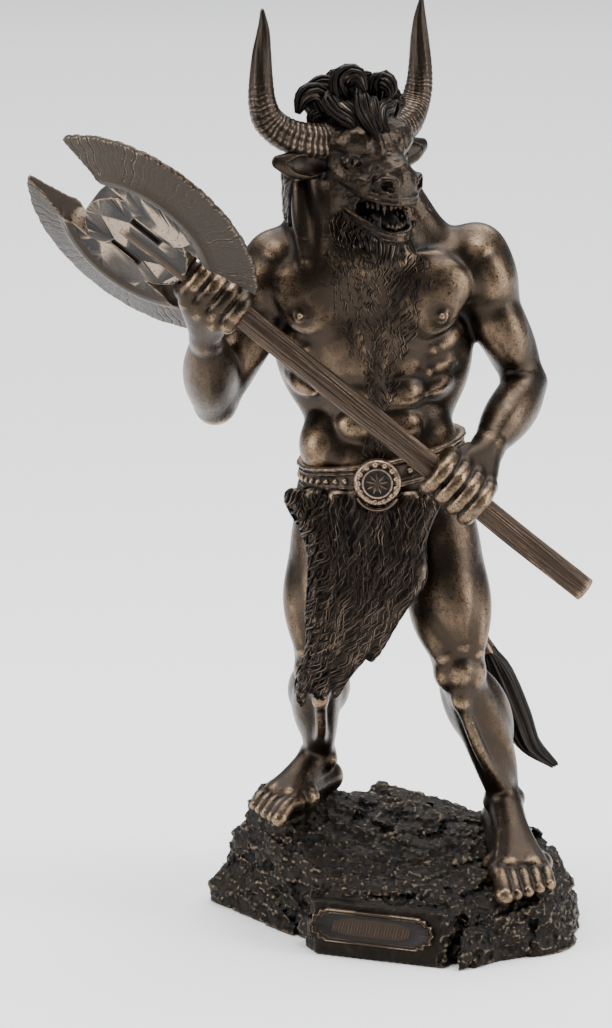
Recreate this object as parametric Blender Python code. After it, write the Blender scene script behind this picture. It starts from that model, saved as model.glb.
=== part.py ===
"""A cast figure of a bull-headed man with a two-bladed axe, standing on a rock base.

Three solids: base, figure and axe. Lengths are in millimetres up to the last step, which
writes metres. The figure and the rock are modelled as fields of distances, blended from
simple forms, and their surfaces are read from a grid. While it is modelled, X is to the
right, Y is away from the viewer and Z is up. At the end the whole statue is turned so
that its nameplate faces -Y.
"""

import math

import bmesh
import bpy
import numpy as np
from mathutils import Matrix, Vector

# Driving dimensions, in millimetres and degrees
FIGURE_HEIGHT = 290.0
BASE_WIDTH = 131.0
BASE_DEPTH = 105.0
RIM_HEIGHT = 15.0
FRONT_TURN = 18.0
FRONT_SHARE = 0.79
CORNER_CUT = 0.286 * BASE_WIDTH
BLOCK_MIDDLE = 0.065 * BASE_WIDTH
BLOCK_WIDTH = 0.412 * BASE_WIDTH
BLOCK_FRONT = 0.387 * BASE_DEPTH
BLOCK_HEIGHT = 17.5
PLATE_LENGTH = 42.5
PLATE_HEIGHT = 11.0
PLATE_THICKNESS = 2.0
PLATE_SHIFT = 5.7
PLATE_CENTRE = 10.3
PLATE_LEAN = 0.16
FRAME_WIDTH = 1.6
FRAME_RELIEF = 0.8
SHAFT_RADIUS = 4.1
SHAFT_LENGTH = 181.0
BLADE_RADIUS = 41.5
BEVEL_RADIUS = 28.0
BLADE_THICKNESS = 9.0
EDGE_THICKNESS = 1.4
RIDGE_RELIEF = 0.9
BODY_RADIUS = 18.6
NOTCH_WIDTH = 30.0
BLADE_TURN = 50.0
SLOT_LENGTH = 11.0
SLOT_WIDTH = 3.0
SLOT_DEPTH = 1.4
SLOT_SPACING = 17.4
GRIP_CLEARANCE = 0.35
FOOT_CLEARANCE = 0.3
STONE_SIZE = 15.0
STONE_LEAN = 0.07
CRACK_DEPTH = 0.7
CHIP_DEPTH = 1.3
ROUNDNESS = 2.2
GRID_STEP = 1.0
FIGURE_TRIANGLES = 6100
BASE_TRIANGLES = 1500

# The pose below is drawn for a figure whose horns reach this far above the rim
DRAWN_HEIGHT = 290.0
SCALE = FIGURE_HEIGHT / DRAWN_HEIGHT
MM = 0.001
FAR = 9.0

# Colour, roughness and metallic value of each piece
FINISHES = {
    "figure": ((0.115, 0.082, 0.058, 1.0), 0.42, 0.85),
    "base": ((0.05, 0.04, 0.033, 1.0), 0.5, 0.8),
    "axe": ((0.09, 0.068, 0.05, 1.0), 0.45, 0.85),
}


def vec(*xyz):
    return np.array(xyz, float)


# The figure's joints, in millimetres from the centre of the rim's top
POSE = {
    "pelvis": vec(-3, 5, 130),
    "waist": vec(-5, 3, 153),
    "chest": vec(-8, 1, 194),
    "neck": vec(-12, 2, 219),
    "skull": vec(-12, -2, 248),
    "shoulder_r": vec(-37, 3, 207),
    "elbow_r": vec(-58, -3, 163),
    "grip_r": vec(-57, -38, 205.5),
    "shoulder_l": vec(25, 4, 209),
    "elbow_l": vec(43, 6, 168),
    "grip_l": vec(20.5, -38, 142),
    "hip_r": vec(-19, 4, 126),
    "knee_r": vec(-24, -9, 76),
    "ankle_r": vec(-24.5, 13, 38),
    "ball_r": vec(-36, -3, 28),
    "hip_l": vec(13, 5, 126),
    "knee_l": vec(22, -7, 75),
    "ankle_l": vec(38, 5, 25),
    "ball_l": vec(42, -22, 9.5),
}
HEAD_TURN = 40.0
AXE_REACH = 29.5


def unit(v):
    return v / np.linalg.norm(v)


def smooth_step(low, high, x):
    t = np.clip((x - low) / (high - low), 0.0, 1.0)
    return t * t * (3 - 2 * t)


class Field:
    """Distances to a growing surface, sampled on a grid: negative inside."""

    def __init__(self, low, high, step):
        self.step = step
        self.axes = [np.arange(a, b + step, step, dtype=np.float32) for a, b in zip(low, high)]
        self.value = np.full([len(a) for a in self.axes], FAR, np.float32)

    def block(self, low, high):
        cuts = []
        for axis, a, b in zip(self.axes, low, high):
            first, last = np.searchsorted(axis, (a, b))
            cuts.append(slice(max(first - 1, 0), min(last + 1, len(axis))))
        x, y, z = (axis[cut] for axis, cut in zip(self.axes, cuts))
        return tuple(cuts), x[:, None, None], y[None, :, None], z[None, None, :]

    def join(self, cuts, distance, blend, remove=False):
        old = self.value[cuts]
        sign = -1 if remove else 1
        h = np.maximum(blend - np.abs(old - sign * distance), 0) / blend
        pick = np.maximum(old, -distance) if remove else np.minimum(old, distance)
        self.value[cuts] = pick - sign * h * h * blend / 4


def segment(x, y, z, a, b):
    """How far along a to b the nearest point lies, and the offsets from it."""
    d = b - a
    t = ((x - a[0]) * d[0] + (y - a[1]) * d[1] + (z - a[2]) * d[2]) / max(d @ d, 1e-9)
    t = np.clip(t, 0, 1)
    return t, x - a[0] - t * d[0], y - a[1] - t * d[1], z - a[2] - t * d[2]


def muscle(field, a, b, ends, middle, blend=3.0, remove=False):
    """A spindle from a to b: ends thick at its two ends and middle thick half way."""
    first, last = ends if isinstance(ends, tuple) else (ends, ends)
    pad = max(first, last, middle) + blend + 2 * field.step
    cuts, x, y, z = field.block(np.minimum(a, b) - pad, np.maximum(a, b) + pad)
    t, dx, dy, dz = segment(x, y, z, a, b)
    radius = first + (last - first) * t + (middle - (first + last) / 2) * 4 * t * (1 - t)
    field.join(cuts, np.sqrt(dx * dx + dy * dy + dz * dz) - radius, blend, remove)


def cone(field, a, b, ra, rb, blend=3.0, remove=False):
    muscle(field, a, b, (ra, rb), (ra + rb) / 2, blend, remove)


def egg(field, centre, radii, blend=3.0, turn=None, remove=False):
    """An ellipsoid. turn holds its three axes as rows."""
    radii = np.array(radii, float)
    pad = radii.max() + blend + 2 * field.step
    cuts, x, y, z = field.block(centre - pad, centre + pad)
    dx, dy, dz = x - centre[0], y - centre[1], z - centre[2]
    rows = np.eye(3) if turn is None else np.array(turn)
    near = sum(((r[0] * dx + r[1] * dy + r[2] * dz) / s) ** 2 for r, s in zip(rows, radii))
    far = sum(((r[0] * dx + r[1] * dy + r[2] * dz) / s**2) ** 2 for r, s in zip(rows, radii))
    distance = np.sqrt(near) * (np.sqrt(near) - 1) / np.sqrt(far + 1e-9)
    field.join(cuts, distance, blend, remove)


def curve_through(points, count):
    """A smooth line through the points, with count points on it."""
    points = np.array(points, float)
    ends = np.vstack([2 * points[0] - points[1], points, 2 * points[-1] - points[-2]])
    out = []
    for s in np.linspace(0, len(points) - 1 - 1e-6, count):
        i, t = int(s), s - int(s)
        p0, p1, p2, p3 = ends[i : i + 4]
        bend = 2 * p0 - 5 * p1 + 4 * p2 - p3
        twist = 3 * p1 - p0 - 3 * p2 + p3
        out.append(0.5 * (2 * p1 + (p2 - p0) * t + bend * t * t + twist * t**3))
    return np.array(out)


def rope(field, points, radii, blend=1.0, flat=1.0, face=None, remove=False):
    """A tapering bent rod through the points. flat under 1 thins it along face."""
    count = 3 * len(points)
    path = curve_through(points, count)
    sizes = np.interp(np.linspace(0, 1, count), np.linspace(0, 1, len(radii)), radii)
    pad = max(radii) + blend + 2 * field.step
    cuts, x, y, z = field.block(path.min(0) - pad, path.max(0) + pad)
    nearest = np.float32(FAR)
    for a, b, ra, rb in zip(path[:-1], path[1:], sizes[:-1], sizes[1:]):
        t, dx, dy, dz = segment(x, y, z, a, b)
        square = dx * dx + dy * dy + dz * dz
        if face is not None:
            thin = dx * face[0] + dy * face[1] + dz * face[2]
            square = square + thin * thin * (1 / flat**2 - 1)
        nearest = np.minimum(nearest, np.sqrt(square) - (ra + (rb - ra) * t))
    field.join(cuts, nearest, blend, remove)


def two_sheets():
    """Which patterns of a cell's eight corners would let two sheets meet in one vertex."""
    corners = [(i, j, k) for i in (0, 1) for j in (0, 1) for k in (0, 1)]
    bad = np.zeros(256, bool)
    for code in range(1, 255):
        for wanted in (0, 1):
            left = [c for n, c in enumerate(corners) if (code >> n & 1) == wanted]
            group = [left.pop()]
            for one in group:
                near = [c for c in left if sum(abs(a - b) for a, b in zip(one, c)) == 1]
                left = [c for c in left if c not in near]
                group += near
            bad[code] |= bool(left)
    return bad


def open_up(value):
    """Fill corners until no cell holds two sheets of surface."""
    bad = two_sheets()
    corners = [(i, j, k) for i in (0, 1) for j in (0, 1) for k in (0, 1)]
    for _ in range(30):
        inside = value < 0
        ends = [slice(None, -1), slice(1, None)]
        code = np.zeros([n - 1 for n in value.shape], np.uint8)
        for number, (i, j, k) in enumerate(corners):
            code |= inside[ends[i], ends[j], ends[k]].astype(np.uint8) << number
        cells = np.stack(np.nonzero(bad[code]), 1)
        if not len(cells):
            break
        spots = cells[:, None, :] + np.array(corners)
        depth = value[spots[..., 0], spots[..., 1], spots[..., 2]]
        nearest = np.argmin(np.where(depth < 0, FAR, depth), 1)
        fill = spots[np.arange(len(cells)), nearest]
        value[tuple(fill.T)] = -0.02


def surface(field):
    """The field's zero surface, one vertex to a cell, as points and quads."""
    value = field.value
    open_up(value)
    inside = value < 0
    shape = np.array(value.shape) - 1
    low = np.array([a[0] for a in field.axes])
    edges = []
    for axis in range(3):
        a = np.moveaxis(inside, axis, 0)
        i, j, k = np.nonzero(a[:-1] != a[1:])
        spot = np.empty((len(i), 3), np.int64)
        others = [n for n in range(3) if n != axis]
        spot[:, axis], spot[:, others[0]], spot[:, others[1]] = i, j, k
        end = spot.copy()
        end[:, axis] += 1
        v0 = value[tuple(spot.T)]
        v1 = value[tuple(end.T)]
        at = spot.astype(float)
        at[:, axis] += v0 / (v0 - v1)
        edges.append((axis, others, spot, at, v0 < 0))
    keys, spots, quads, flips = [], [], [], []
    for axis, others, spot, at, starts_inside in edges:
        around = []
        for da, db in ((0, 0), (1, 0), (1, 1), (0, 1)):
            cell = spot.copy()
            cell[:, others[0]] -= da
            cell[:, others[1]] -= db
            key = (cell[:, 0] * shape[1] + cell[:, 1]) * shape[2] + cell[:, 2]
            around.append(key)
            keys.append(key)
            spots.append(at)
        quads.append(np.stack(around, 1))
        flips.append(starts_inside if axis == 1 else ~starts_inside)
    unique, index = np.unique(np.concatenate(keys), return_inverse=True)
    at = np.concatenate(spots)
    total = np.bincount(index)
    points = np.stack([np.bincount(index, at[:, n]) / total for n in range(3)], 1)
    faces = np.searchsorted(unique, np.concatenate(quads))
    flip = np.concatenate(flips)
    faces[flip] = faces[flip][:, ::-1]
    return points * field.step + low, faces


def solid(name, field, triangles):
    """The largest body of the field's surface as a mesh object, thinned to triangles."""
    points, faces = surface(field)
    mesh = bpy.data.meshes.new(name)
    mesh.from_pydata(points.tolist(), [], faces.tolist())
    keep_largest(mesh)
    piece = bpy.data.objects.new(name, mesh)
    bpy.context.collection.objects.link(piece)
    thin = piece.modifiers.new("thin", "DECIMATE")
    thin.ratio = min(1.0, triangles / (2 * len(mesh.polygons)))
    thin.use_collapse_triangulate = True
    apply_modifiers(piece)
    return piece


def keep_largest(mesh):
    shape = bmesh.new()
    shape.from_mesh(mesh)
    seen = set()
    groups = []
    for start in shape.verts:
        if start in seen:
            continue
        seen.add(start)
        group = [start]
        for vert in group:
            for edge in vert.link_edges:
                other = edge.other_vert(vert)
                if other not in seen:
                    seen.add(other)
                    group.append(other)
        groups.append(group)
    groups.sort(key=len)
    for group in groups[:-1]:
        bmesh.ops.delete(shape, geom=group, context="VERTS")
    shape.to_mesh(mesh)
    shape.free()


def apply_modifiers(piece):
    graph = bpy.context.evaluated_depsgraph_get()
    mesh = bpy.data.meshes.new_from_object(piece.evaluated_get(graph))
    piece.modifiers.clear()
    piece.data = mesh


def boolean(piece, tool, operation):
    change = piece.modifiers.new(tool.name, "BOOLEAN")
    change.operation = operation
    change.solver = "EXACT"
    change.object = tool
    apply_modifiers(piece)
    bpy.data.objects.remove(tool)


def torso(field):
    waist, chest, neck = POSE["waist"], POSE["chest"], POSE["neck"]
    egg(field, POSE["pelvis"], (22, 16, 15))
    egg(field, waist + vec(0, 0, 2), (23, 14.5, 24), 5)
    egg(field, chest - vec(0, 0, 5), (27, 16.5, 30), 5)
    cone(field, POSE["shoulder_r"], POSE["shoulder_l"], 9, 9, 8)
    for side in (-1, 1):
        cone(field, chest + vec(21 * side, 3, 18.5), neck + vec(9 * side, 2, 14), 7, 9.5, 7)
        egg(field, chest + vec(15.5 * side, -10, 4), (14, 7.4, 12.5), 1.6)
        egg(field, chest + vec(19 * side, -9.5, 9), (13, 6.8, 10), 3)
        muscle(field, chest + vec(22 * side, -8, 5), chest + vec(33 * side, -2, 13), (6, 5), 6.6, 3)
        muscle(field, chest + vec(27 * side, 4, 2), waist + vec(19 * side, 3, 4), 4, 9, 5)
        egg(field, waist + vec(17 * side, -4.5, -4), (9, 9.5, 11), 3)
        egg(field, waist + vec(8 * side, -10.6, -8), (8, 4.8, 7.5), 2.4)
        egg(field, POSE["pelvis"] + vec(13 * side, 12, -7), (12, 11, 14), 3)
        for row in range(3):
            egg(field, waist + vec(6.6 * side, -11 - 0.3 * row, 25 - 10.5 * row), (7, 4.4, 5.6), 2)
        egg(field, chest + vec(14 * side, 15, 4), (12, 5, 15), 3)
        muscle(field, chest + vec(6 * side, 16, -2), waist + vec(7 * side, 13, -8), (4, 4), 6, 3)
    spine = [waist + vec(0, 18, -10), waist + vec(0, 18, 12)]
    spine += [chest + vec(0, 19.5, 0), chest + vec(0, 17, 16)]
    rope(field, spine, (2, 2.4, 2), 3, remove=True)
    cone(field, neck + vec(-1, 2, -8), POSE["skull"] + vec(-8, 8, -11), 21.5, 15.5, 6)


def head_place(side, forward, up):
    """A point given from the middle of the skull, along the way that the head looks."""
    turn = math.radians(HEAD_TURN)
    ahead = vec(math.sin(turn), -math.cos(turn), 0)
    across = vec(math.cos(turn), math.sin(turn), 0)
    return POSE["skull"] + side * across + forward * ahead + vec(0, 0, up)


def head_axes():
    return [head_place(1, 0, 0) - POSE["skull"], head_place(0, 1, 0) - POSE["skull"], vec(0, 0, 1)]


def head(field):
    at, axes = head_place, head_axes()
    egg(field, at(0, 0, 0), (13.5, 14, 12), 4, axes)
    egg(field, at(0, 8, 1.5), (12, 7.5, 7.5), 3, axes)
    cone(field, at(0, 5, -5), at(0, 16, -10.5), 10.5, 7.4, 3)
    rope(field, [at(0, 10, 0), at(0, 14.5, -4.2), at(0, 19, -8)], (4.6, 4.4, 4.4), 2)
    egg(field, at(0, 19.4, -11.6), (8.2, 4.8, 5.6), 1.6, axes)
    cone(field, at(0, 1, -14), at(0, 14.5, -26.4), 9.5, 4.4, 3)
    for side in (-1, 1):
        cone(field, at(4.6 * side, 3, -14), at(4 * side, 14.2, -26), 6.5, 3.8, 3)
        cone(field, at(8.8 * side, 2, -6), at(7.6 * side, 12, -11.5), 6, 4.2, 2)
        egg(field, at(10.4 * side, -1, -14), (5, 7.5, 9), 1.5, axes)
    gape = unit(at(0, 1, -0.3) - at(0, 0, 0))
    down = np.cross(axes[0], gape)
    egg(field, at(0, 16, -20.6), (10.6, 12.6, 5.2), 0.8, [axes[0], gape, down], remove=True)
    lips(field)
    for side in (-1, 1):
        egg(field, at(11.4 * side, 10, -4.2), (2.8, 3.2, 2.1), 0.6, axes, remove=True)
        egg(field, at(10.2 * side, 8.7, -4.2), (2.7, 2.7, 2.3), 0.15, axes)
        ridge = [(13.4, 4.6, 0.6), (12, 9.4, 0.8), (8.6, 12.8, 0), (5.4, 14.8, -2)]
        rope(field, [at(a * side, b, c) for a, b, c in ridge], (1.2, 2, 2, 1), 1.6)
        egg(field, at(6.4 * side, 20.6, -11), (2.8, 2.6, 3.2), 0.8, axes)
        egg(field, at(7 * side, 22.4, -11.2), (1.8, 2.6, 1.7), 0.4, axes, remove=True)
        horn(field, side)
        ear(field, side)
    hair(field)


def lips(field):
    """Two lips, four long teeth and the tongue."""
    at = head_place
    upper = [(10.4, 4.8, -18.8), (9.8, 9.8, -14.3), (7.6, 18, -15.9), (5, 22, -16.6), (0, 23.2, -17)]
    lower = [(10.4, 4.8, -19), (8.7, 12.4, -22.8), (5.6, 18.7, -26.3), (3, 20.2, -27.1), (0, 20.7, -27.3)]
    for arc in (upper, lower):
        whole = [(-a, b, c) for a, b, c in arc] + arc[-2::-1]
        rope(field, [at(*point) for point in whole], (1.3, 1.5, 1.3), 0.8)
    for side in (-1, 1):
        cone(field, at(5.6 * side, 20.4, -17), at(5.6 * side, 20.2, -20.6), 1.3, 0.6, 0.4)
        cone(field, at(5.2 * side, 17.4, -25), at(5 * side, 17.6, -21.6), 1.2, 0.6, 0.4)
    tongue = [at(0, 7, -21), at(0, 12.5, -23.2), at(0, 16.4, -25)]
    rope(field, tongue, (4.4, 4.4, 3.2), 1, flat=0.5, face=vec(0, 0, 1))


HORN = [(8, 0, 2.5), (16, -2, 1.6), (24.5, -5, 3.6), (30.5, -7.6, 8.4), (33, -8, 14.5), (33.5, -8, 22),
        (33.2, -8, 30), (32.8, -7.6, 37), (33.4, -7.4, 44)]


def horn(field, side):
    path = [head_place(a * side, b, c) for a, b, c in HORN]
    rope(field, path, (6, 5.8, 5.5, 5.1, 4.5, 3.8, 3, 2, 0.8), 1.5)


def ear(field, side):
    at = head_place
    face = unit(at(0.35 * side, 1, 0.1) - at(0, 0, 0))
    middle = [(11, -2, -6.2), (16, -1.6, -6), (21, -1.4, -5.7), (26, -2, -5), (30.6, -3, -4)]
    path = [at(a * side, b, c) for a, b, c in middle]
    rope(field, path, (2.8, 4.4, 4.8, 4.1, 2.3), 1, flat=0.5, face=face)
    hollow = [at(16 * side, 0.8, -6), at(20 * side, 0.9, -5.6), at(25 * side, 0.2, -5.1)]
    rope(field, hollow, (1.8, 3, 1.4), 0.6, flat=0.6, face=face, remove=True)


def hair(field):
    """The crown's curling locks in three rows, the forelock, the mane and the beard."""
    skull = POSE["skull"]
    egg(field, skull + vec(-1, 1, 9), (11, 10, 8), 3)
    for row, forward in enumerate((-6, 1, 9)):
        for number in range(5):
            lean = math.radians(-62 + 27 * number + 8 * row)
            length = (19, 21, 17)[row] - 2.5 * (number % 2) - 5 * math.sin(lean) ** 2
            out = vec(math.sin(lean), 0, 0.85 * math.cos(lean))
            curl = vec(3.4 if lean > 0 else -3.4, -1, -3)
            root = skull + vec(-1, forward, 4)
            path = [root + reach * out for reach in (4, 0.7 * length, length, 0.98 * length)]
            path[-1] = path[-1] + curl
            rope(field, path, (4.2, 4, 3.4, 1.3), 0.7)
    for start, end in ((-8, -0.6), (0, 6.3), (8, 9.8)):
        bend = 0.7 * start + 0.3 * end
        path = [skull + vec(start, -6, 13), skull + vec(bend, -11, 11.5), skull + vec(end, -15.5, 5)]
        rope(field, path, (2.6, 2.7, 0.9), 0.6)
    at = head_place
    for row in range(4):
        for side in (-8, -3, 3, 8):
            lift = 7 - 11 * row
            path = [at(side, -7, lift), at(1.2 * side, -14, lift - 6), at(1.1 * side, -12.5, lift - 17)]
            rope(field, path, (4.5, 4, 1.2), 1)
    for number in range(5):
        side = 3.6 * number - 7.2
        back = 0.09 * side * side
        path = [at(side, 16.4 - back, -27), at(side, 17.4 - back, -30.6), at(0.8 * side, 14 - back, -36)]
        rope(field, path, (2.2, 2.4, 0.9), 0.8)


def grips():
    """The shaft's direction, and the two ways across it: to the viewer and up."""
    along = unit(POSE["grip_l"] - POSE["grip_r"])
    front = unit(vec(0, -1, 0) - (vec(0, -1, 0) @ along) * along)
    return along, front, np.cross(front, along)


def around_shaft(middle, degrees, radius):
    along, front, up = grips()
    angle = math.radians(degrees)
    return middle + radius * (math.cos(angle) * front + math.sin(angle) * up)


FINGER_SPACING = 5.2


def arm(field, name, lowest, first, last, palm):
    """An arm from shoulder to fingers. The fingers bend round the shaft from first to last."""
    shoulder, elbow, grip = POSE["shoulder_" + name], POSE["elbow_" + name], POSE["grip_" + name]
    along = grips()[0]
    finger = 2.6
    round_shaft = SHAFT_RADIUS / SCALE + finger - 0.8
    hand = around_shaft(grip, palm, round_shaft + 1)
    wrist = hand + 0.3 * (elbow - hand)
    outward = unit(shoulder - POSE["chest"] * vec(1, 1, 0) - vec(0, 0, shoulder[2]))
    egg(field, shoulder + 1.5 * outward - vec(0, 0, 2), (12, 12, 15), 4)
    muscle(field, shoulder, elbow, (9, 6), 9.5, 4)
    muscle(field, shoulder + vec(0, -3, -8), elbow + vec(0, -3, 6), (4, 4), 8.5, 3)
    muscle(field, shoulder + vec(0, 5, -8), elbow + vec(0, 3, 4), (4, 4), 8, 3)
    muscle(field, elbow, wrist, (7, 5.2), 7.5, 3)
    muscle(field, elbow + 2.5 * outward, wrist, (4.5, 3), 8, 3)
    for offset in (-5, 0, 5):
        cone(field, wrist, hand + offset * along, 4.6, 4.2, 2)
    for number in range(4):
        middle = grip + (lowest + FINGER_SPACING * number) * along
        steps = np.linspace(first, last - 12 * abs(number - 1), 6)
        path = [around_shaft(middle, degrees, round_shaft) for degrees in steps]
        rope(field, path, (finger + 0.3, finger, finger, 2.2), 0.7)
    turn = 1 if last > first else -1
    path = [around_shaft(grip + offset * along, palm - turn * degrees, round_shaft + 0.3)
            for offset, degrees in ((-5, 10), (-9, 55), (-8, 95), (-6, 130))]
    rope(field, path, (3.4, 3, 2.6, 2.2), 1)


def leg(field, name):
    hip, knee, ankle, ball = (POSE[part + "_" + name] for part in ("hip", "knee", "ankle", "ball"))
    side = 1 if name == "l" else -1
    muscle(field, hip, knee, (13, 8.5), 14, 5)
    muscle(field, hip + vec(2 * side, -6, -8), knee + vec(0, -3, 8), (6, 5), 9.5, 4)
    muscle(field, hip + vec(0, 8, -10), knee + vec(0, 6, 6), (7, 4), 9, 4)
    egg(field, knee + vec(0, -4, 0), (6.5, 5.5, 7.5), 3)
    muscle(field, knee + vec(0, 1, -2), ankle, (7.5, 5), 7, 4)
    for inner in (-3, 3.5):
        muscle(field, knee + vec(inner, 6, -4), ankle + vec(0, 3, 10), (4, 3), 8.6, 3)
    forward = unit((ball - ankle) * vec(1, 1, 0))
    across = vec(-forward[1], forward[0], 0) * side
    slight = 1.0 if name == "l" else 0.82
    heel = vec(ankle[0], ankle[1], 0) - 6 * slight * forward + vec(0, 0, ankle[2] - 9)
    for spread in (-3 * slight, 3 * slight):
        cone(field, ankle, ball + spread * across + vec(0, 0, 1), 5, 4.4 * slight, 3)
        cone(field, heel, ball + 1.8 * spread * across, 6 * slight, 4.2 * slight, 3)
    egg(field, ankle + 4 * across, (3.5, 4, 4), 2)
    slope = (ball[2] - ankle[2]) / np.linalg.norm((ball - ankle)[:2])
    for number in range(5):
        root = ball + slight * (4 * number - 8) * across + 1.5 * forward
        length = (12, 11.5, 10.5, 9, 7.5)[number] * slight
        size = (3.3, 2.4, 2.3, 2.2, 2.1)[number] * slight
        tip = root + length * forward + vec(0, 0, max(slope, -0.5) * length * 0.6)
        rope(field, [root, (root + tip) / 2 + vec(0, 0, 1.4), tip], (size, size, size), 0.8)
        cone(field, root - 6 * forward, ball - 8 * forward - vec(0, 0, 6), 4, 5, 2)


def loincloth(field):
    """The hide: strands that hang from the belt and sweep to the lower left."""
    rows = [
        (vec(-32, -13, 134), vec(11, -15, 134)),
        (vec(-25, -17, 121), vec(8, -18, 121)),
        (vec(-24, -20, 109), vec(6, -20, 109)),
        (vec(-25, -22, 98), vec(1, -21.5, 98)),
        (vec(-25, -22.5, 86), vec(-7, -21.5, 86)),
        (vec(-29, -21.5, 75), vec(-13, -20.5, 77)),
    ]
    count = 12
    for number in range(count):
        share = number / (count - 1)
        sway = 1.6 * math.sin(2.4 * number)
        length = 6 if share < 0.85 else 5
        path = [a + (b - a) * share + vec(sway * (-1) ** i, -0.8 * (number % 2), 0)
                for i, (a, b) in enumerate(rows[:length])]
        path.append(path[-1] + vec(-1.5, 1, -5 - 3 * math.sin(1.7 * number)))
        rope(field, path, (3.2, 3.4, 3.4, 3, 2.6, 0.8), 0.8)
    for number in range(12):
        share = number / 11
        top = vec(-24 + 42 * share, 22 - 6 * abs(share - 0.5), 132)
        path = [top, top + vec(1, 4, -18), top + vec(-1, 3, -34 - 6 * math.sin(2 * number))]
        rope(field, path, (3.4, 3.6, 1), 0.8)


BELT_RADII = (25.5, 18.5)
BELT_HEIGHT = 10.0


def belt(field):
    middle = POSE["waist"] + vec(1, 0, -10)
    wide, deep = BELT_RADII
    pad = vec(wide + 6, deep + 6, 20)
    cuts, x, y, z = field.block(middle - pad, middle + pad)
    x, y = x - middle[0], y - middle[1]
    level = z - middle[2] - 0.2 * x - 0.07 * y
    ring = (np.sqrt((x / wide) ** 2 + (y / deep) ** 2) - 1) * deep
    for height, low, thick in ((BELT_HEIGHT, 0, 1.4), (1.8, 4.1, 2.1), (1.8, -4.1, 2.1)):
        shell = np.maximum(np.abs(ring) - thick, np.abs(level - low) - height / 2)
        field.join(cuts, shell, 0.5)
    core = np.maximum(ring, np.abs(level) - BELT_HEIGHT / 2)
    field.join(cuts, core, 1.0)
    front = middle + vec(-1, -deep - 1.5, -2)
    rope(field, [front, front + vec(0, 1, 0)], (6.8, 6.8), 0.5, flat=0.35, face=vec(0, 1, 0))


def tail(field):
    path = [vec(-2, 18, 124), vec(6, 30, 112), vec(20, 30, 94), vec(29, 27, 78), vec(36, 28, 64)]
    rope(field, path, (4, 3, 2.6, 2.6, 4), 1.5)
    for number in range(6):
        angle = math.radians(60 * number)
        out = vec(math.cos(angle), math.sin(angle), 0)
        path = [vec(32, 27, 72), vec(40, 27, 57) + 3.5 * out]
        path += [vec(46, 27, 43) + 3 * out, vec(55, 26, 31) + out]
        rope(field, path, (2.6, 3.6, 3, 0.8), 0.8)


def shaft_line():
    """The shaft's direction, its end at the axe head's middle, and its other end."""
    along = grips()[0]
    grip = POSE["grip_r"] * SCALE + vec(0, 0, RIM_HEIGHT)
    head_end = grip - AXE_REACH * SCALE * along
    return along, head_end, head_end + SHAFT_LENGTH * along


def make_figure():
    field = Field((-76, -54, 2), (66, 46, 296), GRID_STEP)
    torso(field)
    for name in "rl":
        leg(field, name)
    loincloth(field)
    belt(field)
    tail(field)
    arm(field, "r", -1.42 * FINGER_SPACING, -45, 185, -62)
    arm(field, "l", -1.83 * FINGER_SPACING, 110, -80, 125)
    head(field)
    figure = solid("figure", field, FIGURE_TRIANGLES)
    for point in figure.data.vertices:
        point.co = point.co * SCALE + Vector((0, 0, RIM_HEIGHT))
    top, end = shaft_line()[1:]
    boolean(figure, rod("bore", top, end, SHAFT_RADIUS + GRIP_CLEARANCE, 20), "DIFFERENCE")
    boolean(figure, axe_head(GRIP_CLEARANCE), "DIFFERENCE")
    return figure


def rod(name, start, end, radius, sides):
    shape = bmesh.new()
    length = np.linalg.norm(end - start)
    bmesh.ops.create_cone(
        shape, cap_ends=True, segments=sides, radius1=radius, radius2=radius, depth=length
    )
    turn = Vector((0, 0, 1)).rotation_difference(Vector(end - start)).to_matrix().to_4x4()
    bmesh.ops.transform(
        shape, matrix=Matrix.Translation(Vector((start + end) / 2)) @ turn, verts=shape.verts
    )
    return to_object(name, shape)


def to_object(name, shape):
    mesh = bpy.data.meshes.new(name)
    shape.to_mesh(mesh)
    shape.free()
    piece = bpy.data.objects.new(name, mesh)
    bpy.context.collection.objects.link(piece)
    return piece


# The rock's top, where the figure stands: a slope up to the back, and a mound under one foot
SLOPE = 0.22
SLOPE_MIDDLE = 13.0
SLOPE_TOP = 17.0
MOUND = (-36.0, 5.0)
MOUND_SPREAD = (26.0, 26.0)
MOUND_HEIGHT = 12.0
STONE_ROOM = 20.0
CRACK_WIDTH = 1.6
CORNER_WAY = (-0.503, -0.864)
SHOULDER = (-55.0, 0.0)
SHOULDER_SLOPE = 2.2
SLAB_WAY = (0.8, 0.6)
SLAB_REACH = 0.409 * BASE_WIDTH
SLAB_START = 0.252 * BASE_WIDTH
SLAB_END = 0.465 * BASE_WIDTH
BASE_SHIFT = 1.5


def rock_top(x, y):
    """How high the rock stands above the rim's top, before its cracks and ledges."""
    x, y = x / SCALE, y / SCALE
    slope = np.clip(SLOPE_MIDDLE + SLOPE * y, 1, SLOPE_TOP)
    (u, v), (long, broad) = MOUND, MOUND_SPREAD
    mound = MOUND_HEIGHT * np.exp(-(((x - u) / long) ** 2) - ((y - v) / broad) ** 2)
    return SCALE * (slope + mound - 0.2 * np.maximum(x - 8, 0) * smooth_step(0, 25, y))


def shoulder(x, y):
    """The steep end of the mound: how high the rock may stand there above the rim's top."""
    (u, v), steep = SHOULDER, SHOULDER_SLOPE
    return SCALE * MOUND_HEIGHT + steep * (x - u * SCALE) - 0.55 * (y - v * SCALE)


def slab(along, depth, z):
    """The slab at the right of the front, with a clear top edge."""
    face = SLAB_WAY[0] * along - SLAB_WAY[1] * depth - SLAB_REACH
    sides = np.maximum(SLAB_START - along, np.maximum(along - SLAB_END, depth + BLOCK_FRONT / 10))
    return np.maximum(np.maximum(face, z - RIM_HEIGHT + 1 + 0.25 * face), sides)


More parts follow.
